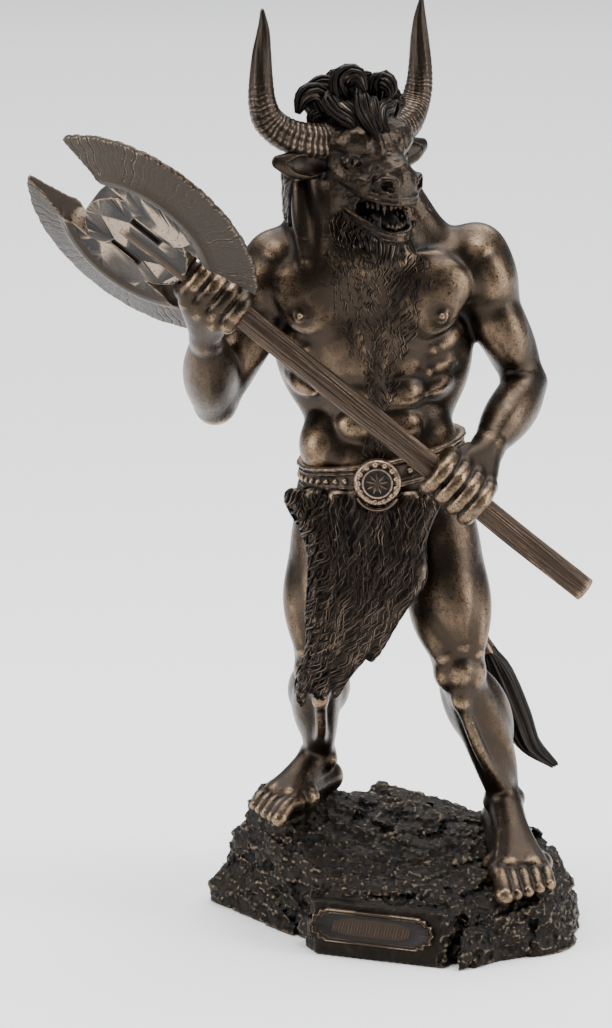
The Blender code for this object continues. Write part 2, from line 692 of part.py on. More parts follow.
def front_axes():
    """The two level directions along the nameplate and out of it."""
    turn = math.radians(FRONT_TURN)
    return vec(math.cos(turn), -math.sin(turn), 0), vec(-math.sin(turn), -math.cos(turn), 0)


def stones(points):
    """How near each point is to a crack between stones, and how far its own stone stands out."""
    low = -vec(BASE_WIDTH, BASE_DEPTH, 0) / 2
    high = vec(BASE_WIDTH / 2, BASE_DEPTH / 2, RIM_HEIGHT + STONE_ROOM)
    count = int(1.2 * np.prod(high - low) / STONE_SIZE**3)
    middles = low + (high - low) * np.random.default_rng(7).uniform(0, 1, (count, 3))
    outs = np.random.default_rng(8).uniform(-1, 1, count)
    leans = np.random.default_rng(9).uniform(-1, 1, (count, 3))
    nearest = second = np.full(len(points), np.inf)
    push = np.zeros(len(points))
    for middle, out, lean in zip(middles, outs, leans):
        offset = points - middle
        away = np.sqrt(offset**2 @ vec(1, 1, 2.2))
        nearer = away < nearest
        second = np.where(nearer, nearest, np.minimum(second, away))
        nearest = np.where(nearer, away, nearest)
        push = np.where(nearer, out + np.clip(STONE_LEAN * offset @ lean, -1, 1), push)
    return second - nearest, push


def make_base():
    """The rock: cracked stones on a flat underside, and in front a block for the plate."""
    wide, deep = BASE_WIDTH / 2, BASE_DEPTH / 2
    highest = RIM_HEIGHT + SCALE * (SLOPE_TOP + MOUND_HEIGHT) + 7
    field = Field((-wide - 3, -deep - 3, -6), (wide + 3, deep + 3, highest), 1.5 * GRID_STEP)
    x, y, z = (axis.reshape(np.roll((-1, 1, 1), n)) for n, axis in enumerate(field.axes))
    right, ahead = front_axes()
    along, depth = x * right[0] + y * right[1] - BASE_SHIFT, -x * ahead[0] - y * ahead[1]
    far = np.where(depth > 0, deep, deep * FRONT_SHARE)
    angle = np.arctan2(depth / deep, along / wide)
    wave = 0.012 * np.sin(3 * angle + 1) + 0.01 * np.sin(7 * angle) + 0.01 * np.sin(11 * angle + 2)
    radius = (np.abs(along / wide) ** ROUNDNESS + np.abs(depth / far) ** ROUNDNESS) ** (1 / ROUNDNESS)
    corner = CORNER_WAY[0] * along + CORNER_WAY[1] * depth - CORNER_CUT
    side = np.maximum((radius - 0.97 + wave) * deep, corner) + 0.12 * z
    edge = 1 - smooth_step(0.72, 1.0, radius)
    top = z - RIM_HEIGHT - np.minimum(edge * rock_top(x, y), shoulder(x, y))
    h = np.maximum(3 - np.abs(side - top), 0) / 3
    rock = np.minimum(np.maximum(side, top) + 0.75 * h * h, slab(along, depth, z))
    rock = np.minimum(rock, plate_block(along + BASE_SHIFT, depth, z))
    near = np.abs(rock) < 4
    spots = np.stack([(n + 0 * rock)[near] for n in (x, y, z)], 1).astype(float)
    gap, push = stones(spots)
    aside = np.abs(spots @ right - BLOCK_MIDDLE)
    plain = (spots @ ahead > BLOCK_FRONT - 5) & (aside < BLOCK_WIDTH / 2 - 4)
    cracks = CRACK_DEPTH * np.clip(CRACK_WIDTH - gap, 0, CRACK_WIDTH)
    rock[near] += np.where(plain, 0, cracks - CHIP_DEPTH * push)
    field.value[:] = rock
    base = solid("base", field, BASE_TRIANGLES)
    flatten_underside(base)
    boolean(base, nameplate(), "UNION")
    return base


def plate_block(along, depth, z):
    """The block of stone that carries the nameplate, with its two front edges bevelled."""
    half = BLOCK_WIDTH / 2
    front = -depth - BLOCK_FRONT + PLATE_LEAN * (z - PLATE_CENTRE)
    flank = 0.75 * np.abs(along - BLOCK_MIDDLE) - 0.66 * (depth + BLOCK_FRONT) - 0.75 * half + 3
    ends = np.abs(along - BLOCK_MIDDLE) - half
    top = z - BLOCK_HEIGHT - 0.2 * (depth + BLOCK_FRONT)
    block = np.maximum(np.maximum(front, flank), np.maximum(ends, top))
    return np.maximum(block, depth + BLOCK_FRONT / 2)


def flatten_underside(base):
    shape = bmesh.new()
    shape.from_mesh(base.data)
    bmesh.ops.bisect_plane(
        shape, geom=shape.verts[:] + shape.edges[:] + shape.faces[:],
        plane_co=(0, 0, 0), plane_no=(0, 0, -1), clear_outer=True,
    )
    bmesh.ops.remove_doubles(shape, verts=shape.verts, dist=0.02)
    rim = [edge for edge in shape.edges if edge.is_boundary]
    bmesh.ops.triangulate(shape, faces=bmesh.ops.holes_fill(shape, edges=rim, sides=0)["faces"])
    bmesh.ops.recalc_face_normals(shape, faces=shape.faces)
    shape.to_mesh(base.data)
    shape.free()


def box(name, middle, axes, size):
    """A box about middle, with size along each of its three axes."""
    shape = bmesh.new()
    bmesh.ops.create_cube(shape, size=1)
    for point in shape.verts:
        point.co = Vector(middle + sum(c * s * a for c, s, a in zip(point.co, size, axes)))
    return to_object(name, shape)


def nameplate():
    """A plate in a raised frame, its back let into the block's leaning face."""
    right, ahead = front_axes()
    level = vec(0, 0, 1)
    rise, outward = unit(level - PLATE_LEAN * ahead), unit(ahead + PLATE_LEAN * level)
    axes = (right, -outward, rise)
    middle = PLATE_SHIFT * right + BLOCK_FRONT * ahead + PLATE_CENTRE * level
    size = vec(PLATE_LENGTH, 2 * PLATE_THICKNESS, PLATE_HEIGHT)
    plate = box("nameplate", middle, axes, size)
    inset = size - vec(2 * FRAME_WIDTH, 0, 2 * FRAME_WIDTH)
    shift = (2 * PLATE_THICKNESS - FRAME_RELIEF) * outward
    boolean(plate, box("field", middle + shift, axes, inset), "DIFFERENCE")
    return plate


def make_axe():
    """The shaft and the two-bladed head, cast as one."""
    top, end = shaft_line()[1:]
    axe = shaft(top, end)
    boolean(axe, axe_head(), "UNION")
    axe.name = "axe"
    return axe


def axe_head(gap=0.0):
    """The two-bladed head, or with a gap the room that it needs."""
    along, top = shaft_line()[:2]
    front, up = grips()[1:]
    turn = math.radians(BLADE_TURN)
    across = math.cos(turn) * up + math.sin(turn) * front
    normal = math.cos(turn) * front - math.sin(turn) * up
    axes = (along, across, normal)
    blade = disc("blade", top, axes, BLADE_PROFILE, gap)
    bay = box("bay", top, axes, (3 * BLADE_RADIUS, NOTCH_WIDTH - 2 * gap, 4 * BLADE_THICKNESS))
    boolean(bay, disc("body", top, axes, [(BODY_RADIUS + gap, 3 * BLADE_THICKNESS)], 0), "DIFFERENCE")
    boolean(blade, bay, "DIFFERENCE")
    for way in (-1, 1):
        for face in (-1, 1):
            middle = top + way * SLOT_SPACING / 2 * across + face * BLADE_THICKNESS / 2 * normal
            size = (SLOT_LENGTH, SLOT_WIDTH, 2 * SLOT_DEPTH)
            boolean(blade, box("slot", middle, axes, size), "DIFFERENCE")
    return blade


# Radius and half thickness: the sunk middle, the raised ridge and the edge
BLADE_PROFILE = [
    (BEVEL_RADIUS - 4, BLADE_THICKNESS / 2 - RIDGE_RELIEF),
    (BEVEL_RADIUS - 2.4, BLADE_THICKNESS / 2),
    (BEVEL_RADIUS, BLADE_THICKNESS / 2),
    (BLADE_RADIUS, EDGE_THICKNESS / 2),
]


def disc(name, middle, axes, profile, gap):
    """A turned form about middle, the same on both faces, with the profile moved out by gap."""
    along, across, normal = axes
    sides = 44
    rings = [(r, h + gap) for r, h in profile]
    rings[-1] = (rings[-1][0] + gap, rings[-1][1])
    rings += [(r, -h) for r, h in reversed(rings)]
    shape = bmesh.new()
    loops = []
    for radius, height in rings:
        loop = []
        for number in range(sides):
            angle = 2 * math.pi * number / sides
            spoke = math.cos(angle) * along + math.sin(angle) * across
            loop.append(shape.verts.new(Vector(middle + radius * spoke + height * normal)))
        loops.append(loop)
    for one, two in zip(loops[:-1], loops[1:]):
        for number in range(sides):
            after = (number + 1) % sides
            shape.faces.new((one[number], two[number], two[after], one[after]))
    shape.faces.new(loops[0])
    shape.faces.new(reversed(loops[-1]))
    bmesh.ops.recalc_face_normals(shape, faces=shape.faces)
    return to_object(name, shape)


def shaft(top, end):
    """A hewn wooden shaft: its rings are uneven, and never thicker than the bore allows."""
    random = np.random.default_rng(3)
    along, front, up = grips()
    sides, rings = 12, 14
    shape = bmesh.new()
    loops = []
    start = top - 6 * along
    grain = random.uniform(0.9, 1.0, sides)
    for step in range(rings + 1):
        loop = []
        for number in range(sides):
            angle = 2 * math.pi * number / sides
            radius = SHAFT_RADIUS * min(1, grain[number] + random.uniform(-0.02, 0.03))
            spoke = math.cos(angle) * front + math.sin(angle) * up
            loop.append(shape.verts.new(Vector(start + (end - start) * step / rings + radius * spoke)))
        loops.append(loop)
    for one, two in zip(loops[:-1], loops[1:]):
        for number in range(sides):
            after = (number + 1) % sides
            shape.faces.new((one[number], two[number], two[after], one[after]))
    shape.faces.new(loops[0])
    shape.faces.new(reversed(loops[-1]))
    bmesh.ops.recalc_face_normals(shape, faces=shape.faces)
    return to_object("shaft", shape)


def seat(figure, base):
    """Shape the soles to the rock, with a small gap between them."""
    shape = bmesh.new()
    shape.from_mesh(base.data)
    shape.normal_update()
    moves = [point.normal * FOOT_CLEARANCE * 1.4 for point in shape.verts]
    for point, move in zip(shape.verts, moves):
        point.co += move
    boolean(figure, to_object("print", shape), "DIFFERENCE")
    keep_largest(figure.data)


def finish(piece):
    """Turn the piece to face the front, set it in metres and give it its material."""
    piece.data.transform(Matrix.Rotation(math.radians(FRONT_TURN), 4, "Z") @ Matrix.Scale(MM, 4))
    colour, roughness, metallic = FINISHES[piece.name]
    material = bpy.data.materials.new(piece.name)
    material.use_nodes = True
    shader = material.node_tree.nodes["Principled BSDF"]
    shader.inputs["Base Color"].default_value = colour
    shader.inputs["Roughness"].default_value = roughness
    shader.inputs["Metallic"].default_value = metallic
    piece.data.materials.clear()
    piece.data.materials.append(material)
    piece.data.shade_smooth()
    piece.data.set_sharp_from_angle(angle=math.radians(40))


def main():
    for piece in list(bpy.data.objects):
        bpy.data.objects.remove(piece)
    base = make_base()
    figure = make_figure()
    seat(figure, base)
    for piece in (base, figure, make_axe()):
        finish(piece)


main()
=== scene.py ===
import math
import bmesh
import bpy
import numpy as np
from mathutils import Matrix, Vector
from mathutils.bvhtree import BVHTree


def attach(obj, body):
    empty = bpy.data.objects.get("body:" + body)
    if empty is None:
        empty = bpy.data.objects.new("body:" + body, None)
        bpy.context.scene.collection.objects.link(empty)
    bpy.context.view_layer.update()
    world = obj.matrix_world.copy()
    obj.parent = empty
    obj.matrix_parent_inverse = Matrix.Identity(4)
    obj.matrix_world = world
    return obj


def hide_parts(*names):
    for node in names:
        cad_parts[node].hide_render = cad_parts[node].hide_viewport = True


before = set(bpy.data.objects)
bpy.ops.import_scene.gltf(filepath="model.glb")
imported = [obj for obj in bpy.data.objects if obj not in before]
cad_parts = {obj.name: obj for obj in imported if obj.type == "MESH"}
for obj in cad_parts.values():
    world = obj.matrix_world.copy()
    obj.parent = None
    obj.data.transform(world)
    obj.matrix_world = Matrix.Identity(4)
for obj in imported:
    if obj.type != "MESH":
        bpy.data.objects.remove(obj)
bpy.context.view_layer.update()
print("frame loaded:", sorted(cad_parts))

# Everything is modelled in millimetres, seen from the camera's side, and turned at the end
view = {
    "frontTurn": 18.0,  # degrees from the camera's side round to the nameplate's front
    "place": (-28.7, -1115.8, 418.2),
    "tilt": 14.0,
    "focal": 3500.0,  # in pixels of the picture
    "pictureHeight": 1028,
    "sensor": 36,
}
toMetres = Matrix.Rotation(math.radians(view["frontTurn"]), 4, "Z") @ Matrix.Scale(0.001, 4)
rim = 15.0  # the height of the base's rim, from which the figure is measured
farAway = 9.0  # the clay's value where nothing is near


def vec(*xyz):
    return np.array(xyz, float)


def unit(v):
    return v / np.linalg.norm(v)


def smoothStep(low, high, x):
    t = np.clip((x - low) / (high - low), 0.0, 1.0)
    return t * t * (3 - 2 * t)


def linkObject(name, data):
    thing = bpy.data.objects.new(name, data)
    bpy.context.collection.objects.link(thing)
    return thing


def addCamera():
    data = bpy.data.cameras.new("camera")
    data.sensor_fit = "VERTICAL"
    data.sensor_height = view["sensor"]
    data.lens = view["focal"] / view["pictureHeight"] * view["sensor"]
    camera = linkObject("camera", data)
    turn = Matrix.Rotation(math.radians(view["frontTurn"]), 4, "Z")
    tilt = Matrix.Rotation(math.radians(90 - view["tilt"]), 4, "X")
    place = turn @ Vector(view["place"]) * 0.001
    camera.matrix_world = Matrix.Translation(place) @ turn @ tilt
    bpy.context.scene.camera = camera


addCamera()


# Clay: a block of distances to a growing surface, negative inside
class Clay:
    def __init__(self, low, high, step):
        self.step = step * 1
        self.axes = [np.arange(a, b + self.step, self.step, dtype=np.float32) for a, b in zip(low, high)]
        self.value = np.full([len(a) for a in self.axes], farAway, np.float32)

    def block(self, low, high):
        cuts = []
        for axis, a, b in zip(self.axes, low, high):
            first, last = np.searchsorted(axis, (a, b))
            cuts.append(slice(max(first - 1, 0), min(last + 1, len(axis))))
        x, y, z = (axis[cut] for axis, cut in zip(self.axes, cuts))
        return tuple(cuts), x[:, None, None], y[None, :, None], z[None, None, :]

    def join(self, cuts, distance, blend, remove=False):
        old = self.value[cuts]
        if not old.size:
            return
        sign = -1 if remove else 1
        h = np.maximum(blend - np.abs(old - sign * distance), 0) / blend
        pick = np.maximum(old, -distance) if remove else np.minimum(old, distance)
        self.value[cuts] = pick - sign * h * h * blend / 4


wholeBlock = vec(-999, -999, -999), vec(999, 999, 999)  # wider than any clay


def segment(x, y, z, a, b):
    d = b - a
    t = ((x - a[0]) * d[0] + (y - a[1]) * d[1] + (z - a[2]) * d[2]) / max(d @ d, 1e-9)
    t = np.clip(t, 0, 1)
    return t, x - a[0] - t * d[0], y - a[1] - t * d[1], z - a[2] - t * d[2]


# A spindle from a to b, ends thick at its ends and middle thick half way
def muscle(clay, a, b, ends, middle, blend=3.0, remove=False):
    first, last = ends if isinstance(ends, tuple) else (ends, ends)
    pad = max(first, last, middle) + blend + 2 * clay.step
    cuts, x, y, z = clay.block(np.minimum(a, b) - pad, np.maximum(a, b) + pad)
    t, dx, dy, dz = segment(x, y, z, a, b)
    radius = first + (last - first) * t + (middle - (first + last) / 2) * 4 * t * (1 - t)
    clay.join(cuts, np.sqrt(dx * dx + dy * dy + dz * dz) - radius, blend, remove)


def cone(clay, a, b, ra, rb, blend=3.0, remove=False):
    muscle(clay, a, b, (ra, rb), (ra + rb) / 2, blend, remove)


# An ellipsoid, its axes turned to the rows of turn
def egg(clay, centre, radii, blend=3.0, turn=None, remove=False):
    radii = np.array(radii, float)
    pad = radii.max() + blend + 2 * clay.step
    cuts, x, y, z = clay.block(centre - pad, centre + pad)
    dx, dy, dz = x - centre[0], y - centre[1], z - centre[2]
    rows = np.eye(3) if turn is None else np.array(turn)
    near = sum(((r[0] * dx + r[1] * dy + r[2] * dz) / s) ** 2 for r, s in zip(rows, radii))
    far = sum(((r[0] * dx + r[1] * dy + r[2] * dz) / s**2) ** 2 for r, s in zip(rows, radii))
    distance = np.sqrt(near) * (np.sqrt(near) - 1) / np.sqrt(far + 1e-9)
    clay.join(cuts, distance, blend, remove)


def curveThrough(points, count):
    points = np.array(points, float)
    ends = np.vstack([2 * points[0] - points[1], points, 2 * points[-1] - points[-2]])
    out = []
    for s in np.linspace(0, len(points) - 1 - 1e-6, count):
        i, t = int(s), s - int(s)
        p0, p1, p2, p3 = ends[i : i + 4]
        bend = 2 * p0 - 5 * p1 + 4 * p2 - p3
        twist = 3 * p1 - p0 - 3 * p2 + p3
        out.append(0.5 * (2 * p1 + (p2 - p0) * t + bend * t * t + twist * t**3))
    return np.array(out)


def sizesAlong(values, count):
    return np.interp(np.linspace(0, 1, count), np.linspace(0, 1, len(values)), values)


# A tapering bent rod through the points, thinned along face where flat is under 1
def rope(clay, points, radii, blend=1.0, flat=1.0, face=None, remove=False):
    count = 4 * len(points)
    path = curveThrough(points, count)
    sizes = sizesAlong(radii, count)
    pad = max(radii) + blend + 2 * clay.step
    cuts, x, y, z = clay.block(path.min(0) - pad, path.max(0) + pad)
    nearest = np.float32(farAway)
    for a, b, ra, rb in zip(path[:-1], path[1:], sizes[:-1], sizes[1:]):
        t, dx, dy, dz = segment(x, y, z, a, b)
        square = dx * dx + dy * dy + dz * dz
        if face is not None:
            thin = dx * face[0] + dy * face[1] + dz * face[2]
            square = square + thin * thin * (1 / flat**2 - 1)
        nearest = np.minimum(nearest, np.sqrt(square) - (ra + (rb - ra) * t))
    clay.join(cuts, nearest, blend, remove)


# The clay's surface as points and quads, one vertex to a cell
def surface(clay):
    value = clay.value
    for axis in range(3):  # the block's own sides are outside
        side = np.moveaxis(value, axis, 0)
        side[0] = np.maximum(side[0], 0.1)
        side[-1] = np.maximum(side[-1], 0.1)
    inside = value < 0
    shape = np.array(value.shape) - 1
    low = np.array([a[0] for a in clay.axes])
    keys, spots, quads, flips = [], [], [], []
    for axis in range(3):
        a = np.moveaxis(inside, axis, 0)
        i, j, k = np.nonzero(a[:-1] != a[1:])
        others = [n for n in range(3) if n != axis]
        spot = np.empty((len(i), 3), np.int64)
        spot[:, axis], spot[:, others[0]], spot[:, others[1]] = i, j, k
        end = spot.copy()
        end[:, axis] += 1
        v0, v1 = value[tuple(spot.T)], value[tuple(end.T)]
        at = spot.astype(float)
        at[:, axis] += v0 / (v0 - v1)
        around = []
        for da, db in ((0, 0), (1, 0), (1, 1), (0, 1)):
            cell = spot.copy()
            cell[:, others[0]] -= da
            cell[:, others[1]] -= db
            key = (cell[:, 0] * shape[1] + cell[:, 1]) * shape[2] + cell[:, 2]
            around.append(key)
            keys.append(key)
            spots.append(at)
        quads.append(np.stack(around, 1))
        flips.append((v0 < 0) == (axis == 1))
    unique, index = np.unique(np.concatenate(keys), return_inverse=True)
    at = np.concatenate(spots)
    total = np.bincount(index)
    points = np.stack([np.bincount(index, at[:, n]) / total for n in range(3)], 1)
    faces = np.searchsorted(unique, np.concatenate(quads))
    flip = np.concatenate(flips)
    faces[flip] = faces[flip][:, ::-1]
    return points * clay.step + low, faces


def makePiece(name, points, faces):
    mesh = bpy.data.meshes.new(name)
    if isinstance(faces, np.ndarray):
        mesh.vertices.add(len(points))
        mesh.vertices.foreach_set("co", np.asarray(points, np.float32).ravel())
        mesh.loops.add(faces.size)
        mesh.loops.foreach_set("vertex_index", faces.astype(np.int32).ravel())
        mesh.polygons.add(len(faces))
        mesh.polygons.foreach_set("loop_start", np.arange(0, faces.size, faces.shape[1], dtype=np.int32))
        mesh.update(calc_edges=True)
    else:
        mesh.from_pydata([tuple(p) for p in points], [], faces)
    return linkObject(name, mesh)


def readPoints(mesh):
    points = np.empty(3 * len(mesh.vertices), np.float32)
    mesh.vertices.foreach_get("co", points)
    return points.reshape(-1, 3).astype(float)


def readNormals(mesh):
    normals = np.empty(3 * len(mesh.vertices), np.float32)
    mesh.vertex_normals.foreach_get("vector", normals)
    return normals.reshape(-1, 3).astype(float)


# How deep each vertex lies under its neighbourhood, smoothed over rounds of neighbours
def hollow(mesh, points, normals, rounds):
    edges = np.empty(2 * len(mesh.edges), np.int32)
    mesh.edges.foreach_get("vertices", edges)
    a, b = edges.reshape(-1, 2).T
    count = np.maximum(np.bincount(edges, minlength=len(points)), 1)[:, None]
    soft = points.copy()
    for _ in range(rounds):
        total = [np.bincount(a, soft[b, n], len(points)) + np.bincount(b, soft[a, n], len(points))
                 for n in range(3)]
        soft = 0.4 * soft + 0.6 * np.stack(total, 1) / count
    return ((soft - points) * normals).sum(1)


def setAttribute(mesh, name, values):
    layer = mesh.attributes.get(name) or mesh.attributes.new(name, "FLOAT", "POINT")
    layer.data.foreach_set("value", np.asarray(values, np.float32))


def applyModifiers(piece):
    graph = bpy.context.evaluated_depsgraph_get()
    mesh = bpy.data.meshes.new_from_object(piece.evaluated_get(graph))
    piece.modifiers.clear()
    piece.data = mesh


# Turn clay into a piece, thinned to a number of triangles
def fire(name, clay, triangles):
    piece = makePiece(name, *surface(clay))
    count = 2 * len(piece.data.polygons)
    if count > triangles:
        thin = piece.modifiers.new("thin", "DECIMATE")
        thin.ratio = triangles / count
        applyModifiers(piece)
    return piece


# Carve a piece's relief, store the masks of patina and of any painted shade, and set it in its place
def finishPiece(piece, node, material, relief=None, place=None, fine=3, broad=25, shade=None):
    mesh = piece.data
    points, normals = readPoints(mesh), readNormals(mesh)
    if relief:
        points = points + relief(points, normals)[:, None] * normals
        mesh.vertices.foreach_set("co", points.astype(np.float32).ravel())
        mesh.update()
        normals = readNormals(mesh)
    crest = mesh.attributes.get("crest")
    if crest:  # strands know their own height
        high = np.empty(len(mesh.vertices), np.float32)
        crest.data.foreach_get("value", high)
        setAttribute(mesh, "crease", 0.11 - 0.21 * np.clip(high, 0, 1) ** 3)
        setAttribute(mesh, "hollow", 0.7 - 0.75 * high)
    else:
        # shade gives a value added to the masks (painted shade for the head's mouth and eyes) and how much of
        # the hollows is kept
        deep, kept = shade(points) if shade else (0, 1)
        setAttribute(mesh, "crease", hollow(mesh, points, normals, fine) * kept + 0.2 * deep)
        setAttribute(mesh, "hollow", hollow(mesh, points, normals, broad) * kept + deep)
    if place is not None:
        mesh.transform(place)
    if node != "base":
        mesh.transform(Matrix.Translation((0, 0, rim)))
    mesh.transform(toMetres)
    mesh.shade_smooth()
    mesh.materials.clear()
    mesh.materials.append(material)
    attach(piece, "root")
    if node:
        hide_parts(node)
    print(piece.name, len(mesh.polygons), "faces")


# Smooth noise from turned sine waves
def ripple(points, size, seed=0, octaves=3):
    random = np.random.default_rng(seed)
    total, weight = np.zeros(len(points)), 0
    for octave in range(octaves):
        for _ in range(5):
            direction = random.normal(size=3)
            direction *= 6.28 / (size * np.linalg.norm(direction)) * 1.9**octave
            total += np.sin(points @ direction + random.uniform(0, 6.28)) * 0.6**octave
        weight += 5 * 0.6**octave
    return total / weight * 2


# Node trees: a short way to make and join nodes
def makeTree(name, kind, inputs, outputs):
    tree = bpy.data.node_groups.new(name, kind)
    for label, socket, value in inputs:
        item = tree.interface.new_socket(label, in_out="INPUT", socket_type=socket)
        if value is not None:
            item.default_value = value
    for label, socket in outputs:
        tree.interface.new_socket(label, in_out="OUTPUT", socket_type=socket)
    return tree, tree.nodes.new("NodeGroupInput"), tree.nodes.new("NodeGroupOutput")


def addNode(tree, kind, inputs=(), **settings):
    node = tree.nodes.new(kind)
    for key, value in settings.items():
        setattr(node, key, value)
    for key, value in dict(inputs).items():
        socket = node.inputs[key]
        if isinstance(value, bpy.types.NodeSocket):
            tree.links.new(value, socket)
        else:
            socket.default_value = value
    return node


def math1(tree, operation, a, b=0.0, clamp=False):
    return addNode(tree, "ShaderNodeMath", {0: a, 1: b}, operation=operation, use_clamp=clamp).outputs[0]


def inputId(tree, label):
    return next(s.identifier for s in tree.interface.items_tree if s.in_out == "INPUT" and s.name == label)


# Strands of hair: rods swept along lines, flattened towards the surface that they lie on
def strandTree():
    tree, start, end = makeTree("strands", "GeometryNodeTree", [
        ("Geometry", "NodeSocketGeometry", None), ("Sides", "NodeSocketInt", 6),
        ("Flatness", "NodeSocketFloat", 0.8), ("Material", "NodeSocketMaterial", None)],
        [("Geometry", "NodeSocketGeometry")])
    attribute = {name: addNode(tree, "GeometryNodeInputNamedAttribute", {0: name}, data_type=kind).outputs[0]
                 for name, kind in (("thick", "FLOAT"), ("facing", "FLOAT_VECTOR"),
                                    ("spine", "FLOAT_VECTOR"))}
    line = addNode(tree, "GeometryNodeMeshToCurve", {0: start.outputs["Geometry"]})
    ring = addNode(tree, "GeometryNodeCurvePrimitiveCircle",
                   {"Resolution": start.outputs["Sides"], "Radius": 1.0})
    skin = addNode(tree, "GeometryNodeCurveToMesh", {
        0: line.outputs[0], 1: ring.outputs[0], "Scale": attribute["thick"], "Fill Caps": True})
    place = addNode(tree, "GeometryNodeInputPosition")
    offset = addNode(tree, "ShaderNodeVectorMath", {0: place.outputs[0], 1: attribute["spine"]},
                     operation="SUBTRACT")
    height = addNode(tree, "ShaderNodeVectorMath", {0: offset.outputs[0], 1: attribute["facing"]},
                     operation="DOT_PRODUCT").outputs["Value"]
    high = math1(tree, "DIVIDE", height, attribute["thick"])
    noted = addNode(tree, "GeometryNodeStoreNamedAttribute",
                    {0: skin.outputs[0], "Name": "crest", "Value": high})
    thin = math1(tree, "SUBTRACT", start.outputs["Flatness"], 1.0)
    push = addNode(tree, "ShaderNodeVectorMath",
                   {0: attribute["facing"], "Scale": math1(tree, "MULTIPLY", height, thin)},
                   operation="SCALE")
    moved = addNode(tree, "GeometryNodeSetPosition", {0: noted.outputs[0], "Offset": push.outputs[0]})
    whole = addNode(tree, "GeometryNodeRealizeInstances", {0: moved.outputs[0]})
    painted = addNode(tree, "GeometryNodeSetMaterial",
                      {0: whole.outputs[0], "Material": start.outputs["Material"]})
    tree.links.new(painted.outputs[0], end.inputs[0])
    return tree


# Studs and beads: one small dome set on each point, its top along the point's facing
def studTree():
    tree, start, end = makeTree("studs", "GeometryNodeTree", [
        ("Geometry", "NodeSocketGeometry", None), ("Radius", "NodeSocketFloat", 1.0),
        ("Height", "NodeSocketFloat", 0.8), ("Material", "NodeSocketMaterial", None)],
        [("Geometry", "NodeSocketGeometry")])
    facing = addNode(tree, "GeometryNodeInputNamedAttribute", {0: "facing"},
                     data_type="FLOAT_VECTOR").outputs[0]
    ball = addNode(tree, "GeometryNodeMeshUVSphere", {"Segments": 10, "Rings": 6, "Radius": 1.0})
    turn = addNode(tree, "FunctionNodeAlignRotationToVector", {"Vector": facing}, axis="Z")
    size = addNode(tree, "ShaderNodeCombineXYZ", {
        0: start.outputs["Radius"], 1: start.outputs["Radius"], 2: start.outputs["Height"]})
    spots = addNode(tree, "GeometryNodeInstanceOnPoints", {
        0: start.outputs["Geometry"], "Instance": ball.outputs[0],
        "Rotation": turn.outputs[0], "Scale": size.outputs[0]})
    whole = addNode(tree, "GeometryNodeRealizeInstances", {0: spots.outputs[0]})
    painted = addNode(tree, "GeometryNodeSetMaterial",
                      {0: whole.outputs[0], "Material": start.outputs["Material"]})
    tree.links.new(painted.outputs[0], end.inputs[0])
    return tree


def runTree(piece, tree, settings):
    change = piece.modifiers.new(tree.name, "NODES")
    change.node_group = tree
    for label, value in settings.items():
        change[inputId(tree, label)] = value
    applyModifiers(piece)


trees = {"strands": strandTree(), "studs": studTree()}


def vectorAttribute(mesh, name, values):
    layer = mesh.attributes.new(name, "FLOAT_VECTOR", "POINT")
    layer.data.foreach_set("vector", np.asarray(values, np.float32).ravel())


# One piece of many strands; each strand is a path, the ways its points face, and its thickness
def strandPiece(name, strands, material, node=None, flat=0.8, sides=6):
    points = np.vstack([s[0] for s in strands])
    mesh = bpy.data.meshes.new(name)
    edges, first = [], 0
    for path, _, _ in strands:
        edges += [(first + n, first + n + 1) for n in range(len(path) - 1)]
        first += len(path)
    mesh.from_pydata(points.tolist(), edges, [])
    vectorAttribute(mesh, "spine", points)
    vectorAttribute(mesh, "facing", np.vstack([s[1] for s in strands]))
    setAttribute(mesh, "thick", np.concatenate([s[2] for s in strands]))
    piece = linkObject(name, mesh)
    runTree(piece, trees["strands"], {"Sides": sides, "Flatness": flat, "Material": material})
    finishPiece(piece, node, material)
    return piece


def studPiece(name, points, facings, radius, height, material, node=None, slot="bronze"):
    mesh = bpy.data.meshes.new(name)
    mesh.from_pydata([tuple(p) for p in points], [], [])
    vectorAttribute(mesh, "facing", facings)
    piece = linkObject(name, mesh)
    runTree(piece, trees["studs"], {"Radius": radius, "Height": height, "Material": material})
    finishPiece(piece, node, material)


def taper(count, thick, root=0.5, tip=0.15):
    t = np.linspace(0, 1, count)
    return thick * np.interp(t, [0, 0.3, 0.65, 1], [root, 1, 0.85, tip])


def skinOf(piece):
    mesh = piece.data
    return BVHTree.FromPolygons([v.co for v in mesh.vertices], [p.vertices[:] for p in mesh.polygons])


# One point for each cell of a grid that the points fall in
def scatter(points, spacing, seed):
    shift = np.random.default_rng(seed).uniform(0, 1, 3)
    cells = np.floor(points / np.array(spacing) + shift).astype(np.int64)
    keys = (cells[:, 0] * 4001 + cells[:, 1]) * 4001 + cells[:, 2]
    order = np.random.default_rng(seed + 1).permutation(len(points))
    return points[order[np.unique(keys[order], return_index=True)[1]]]


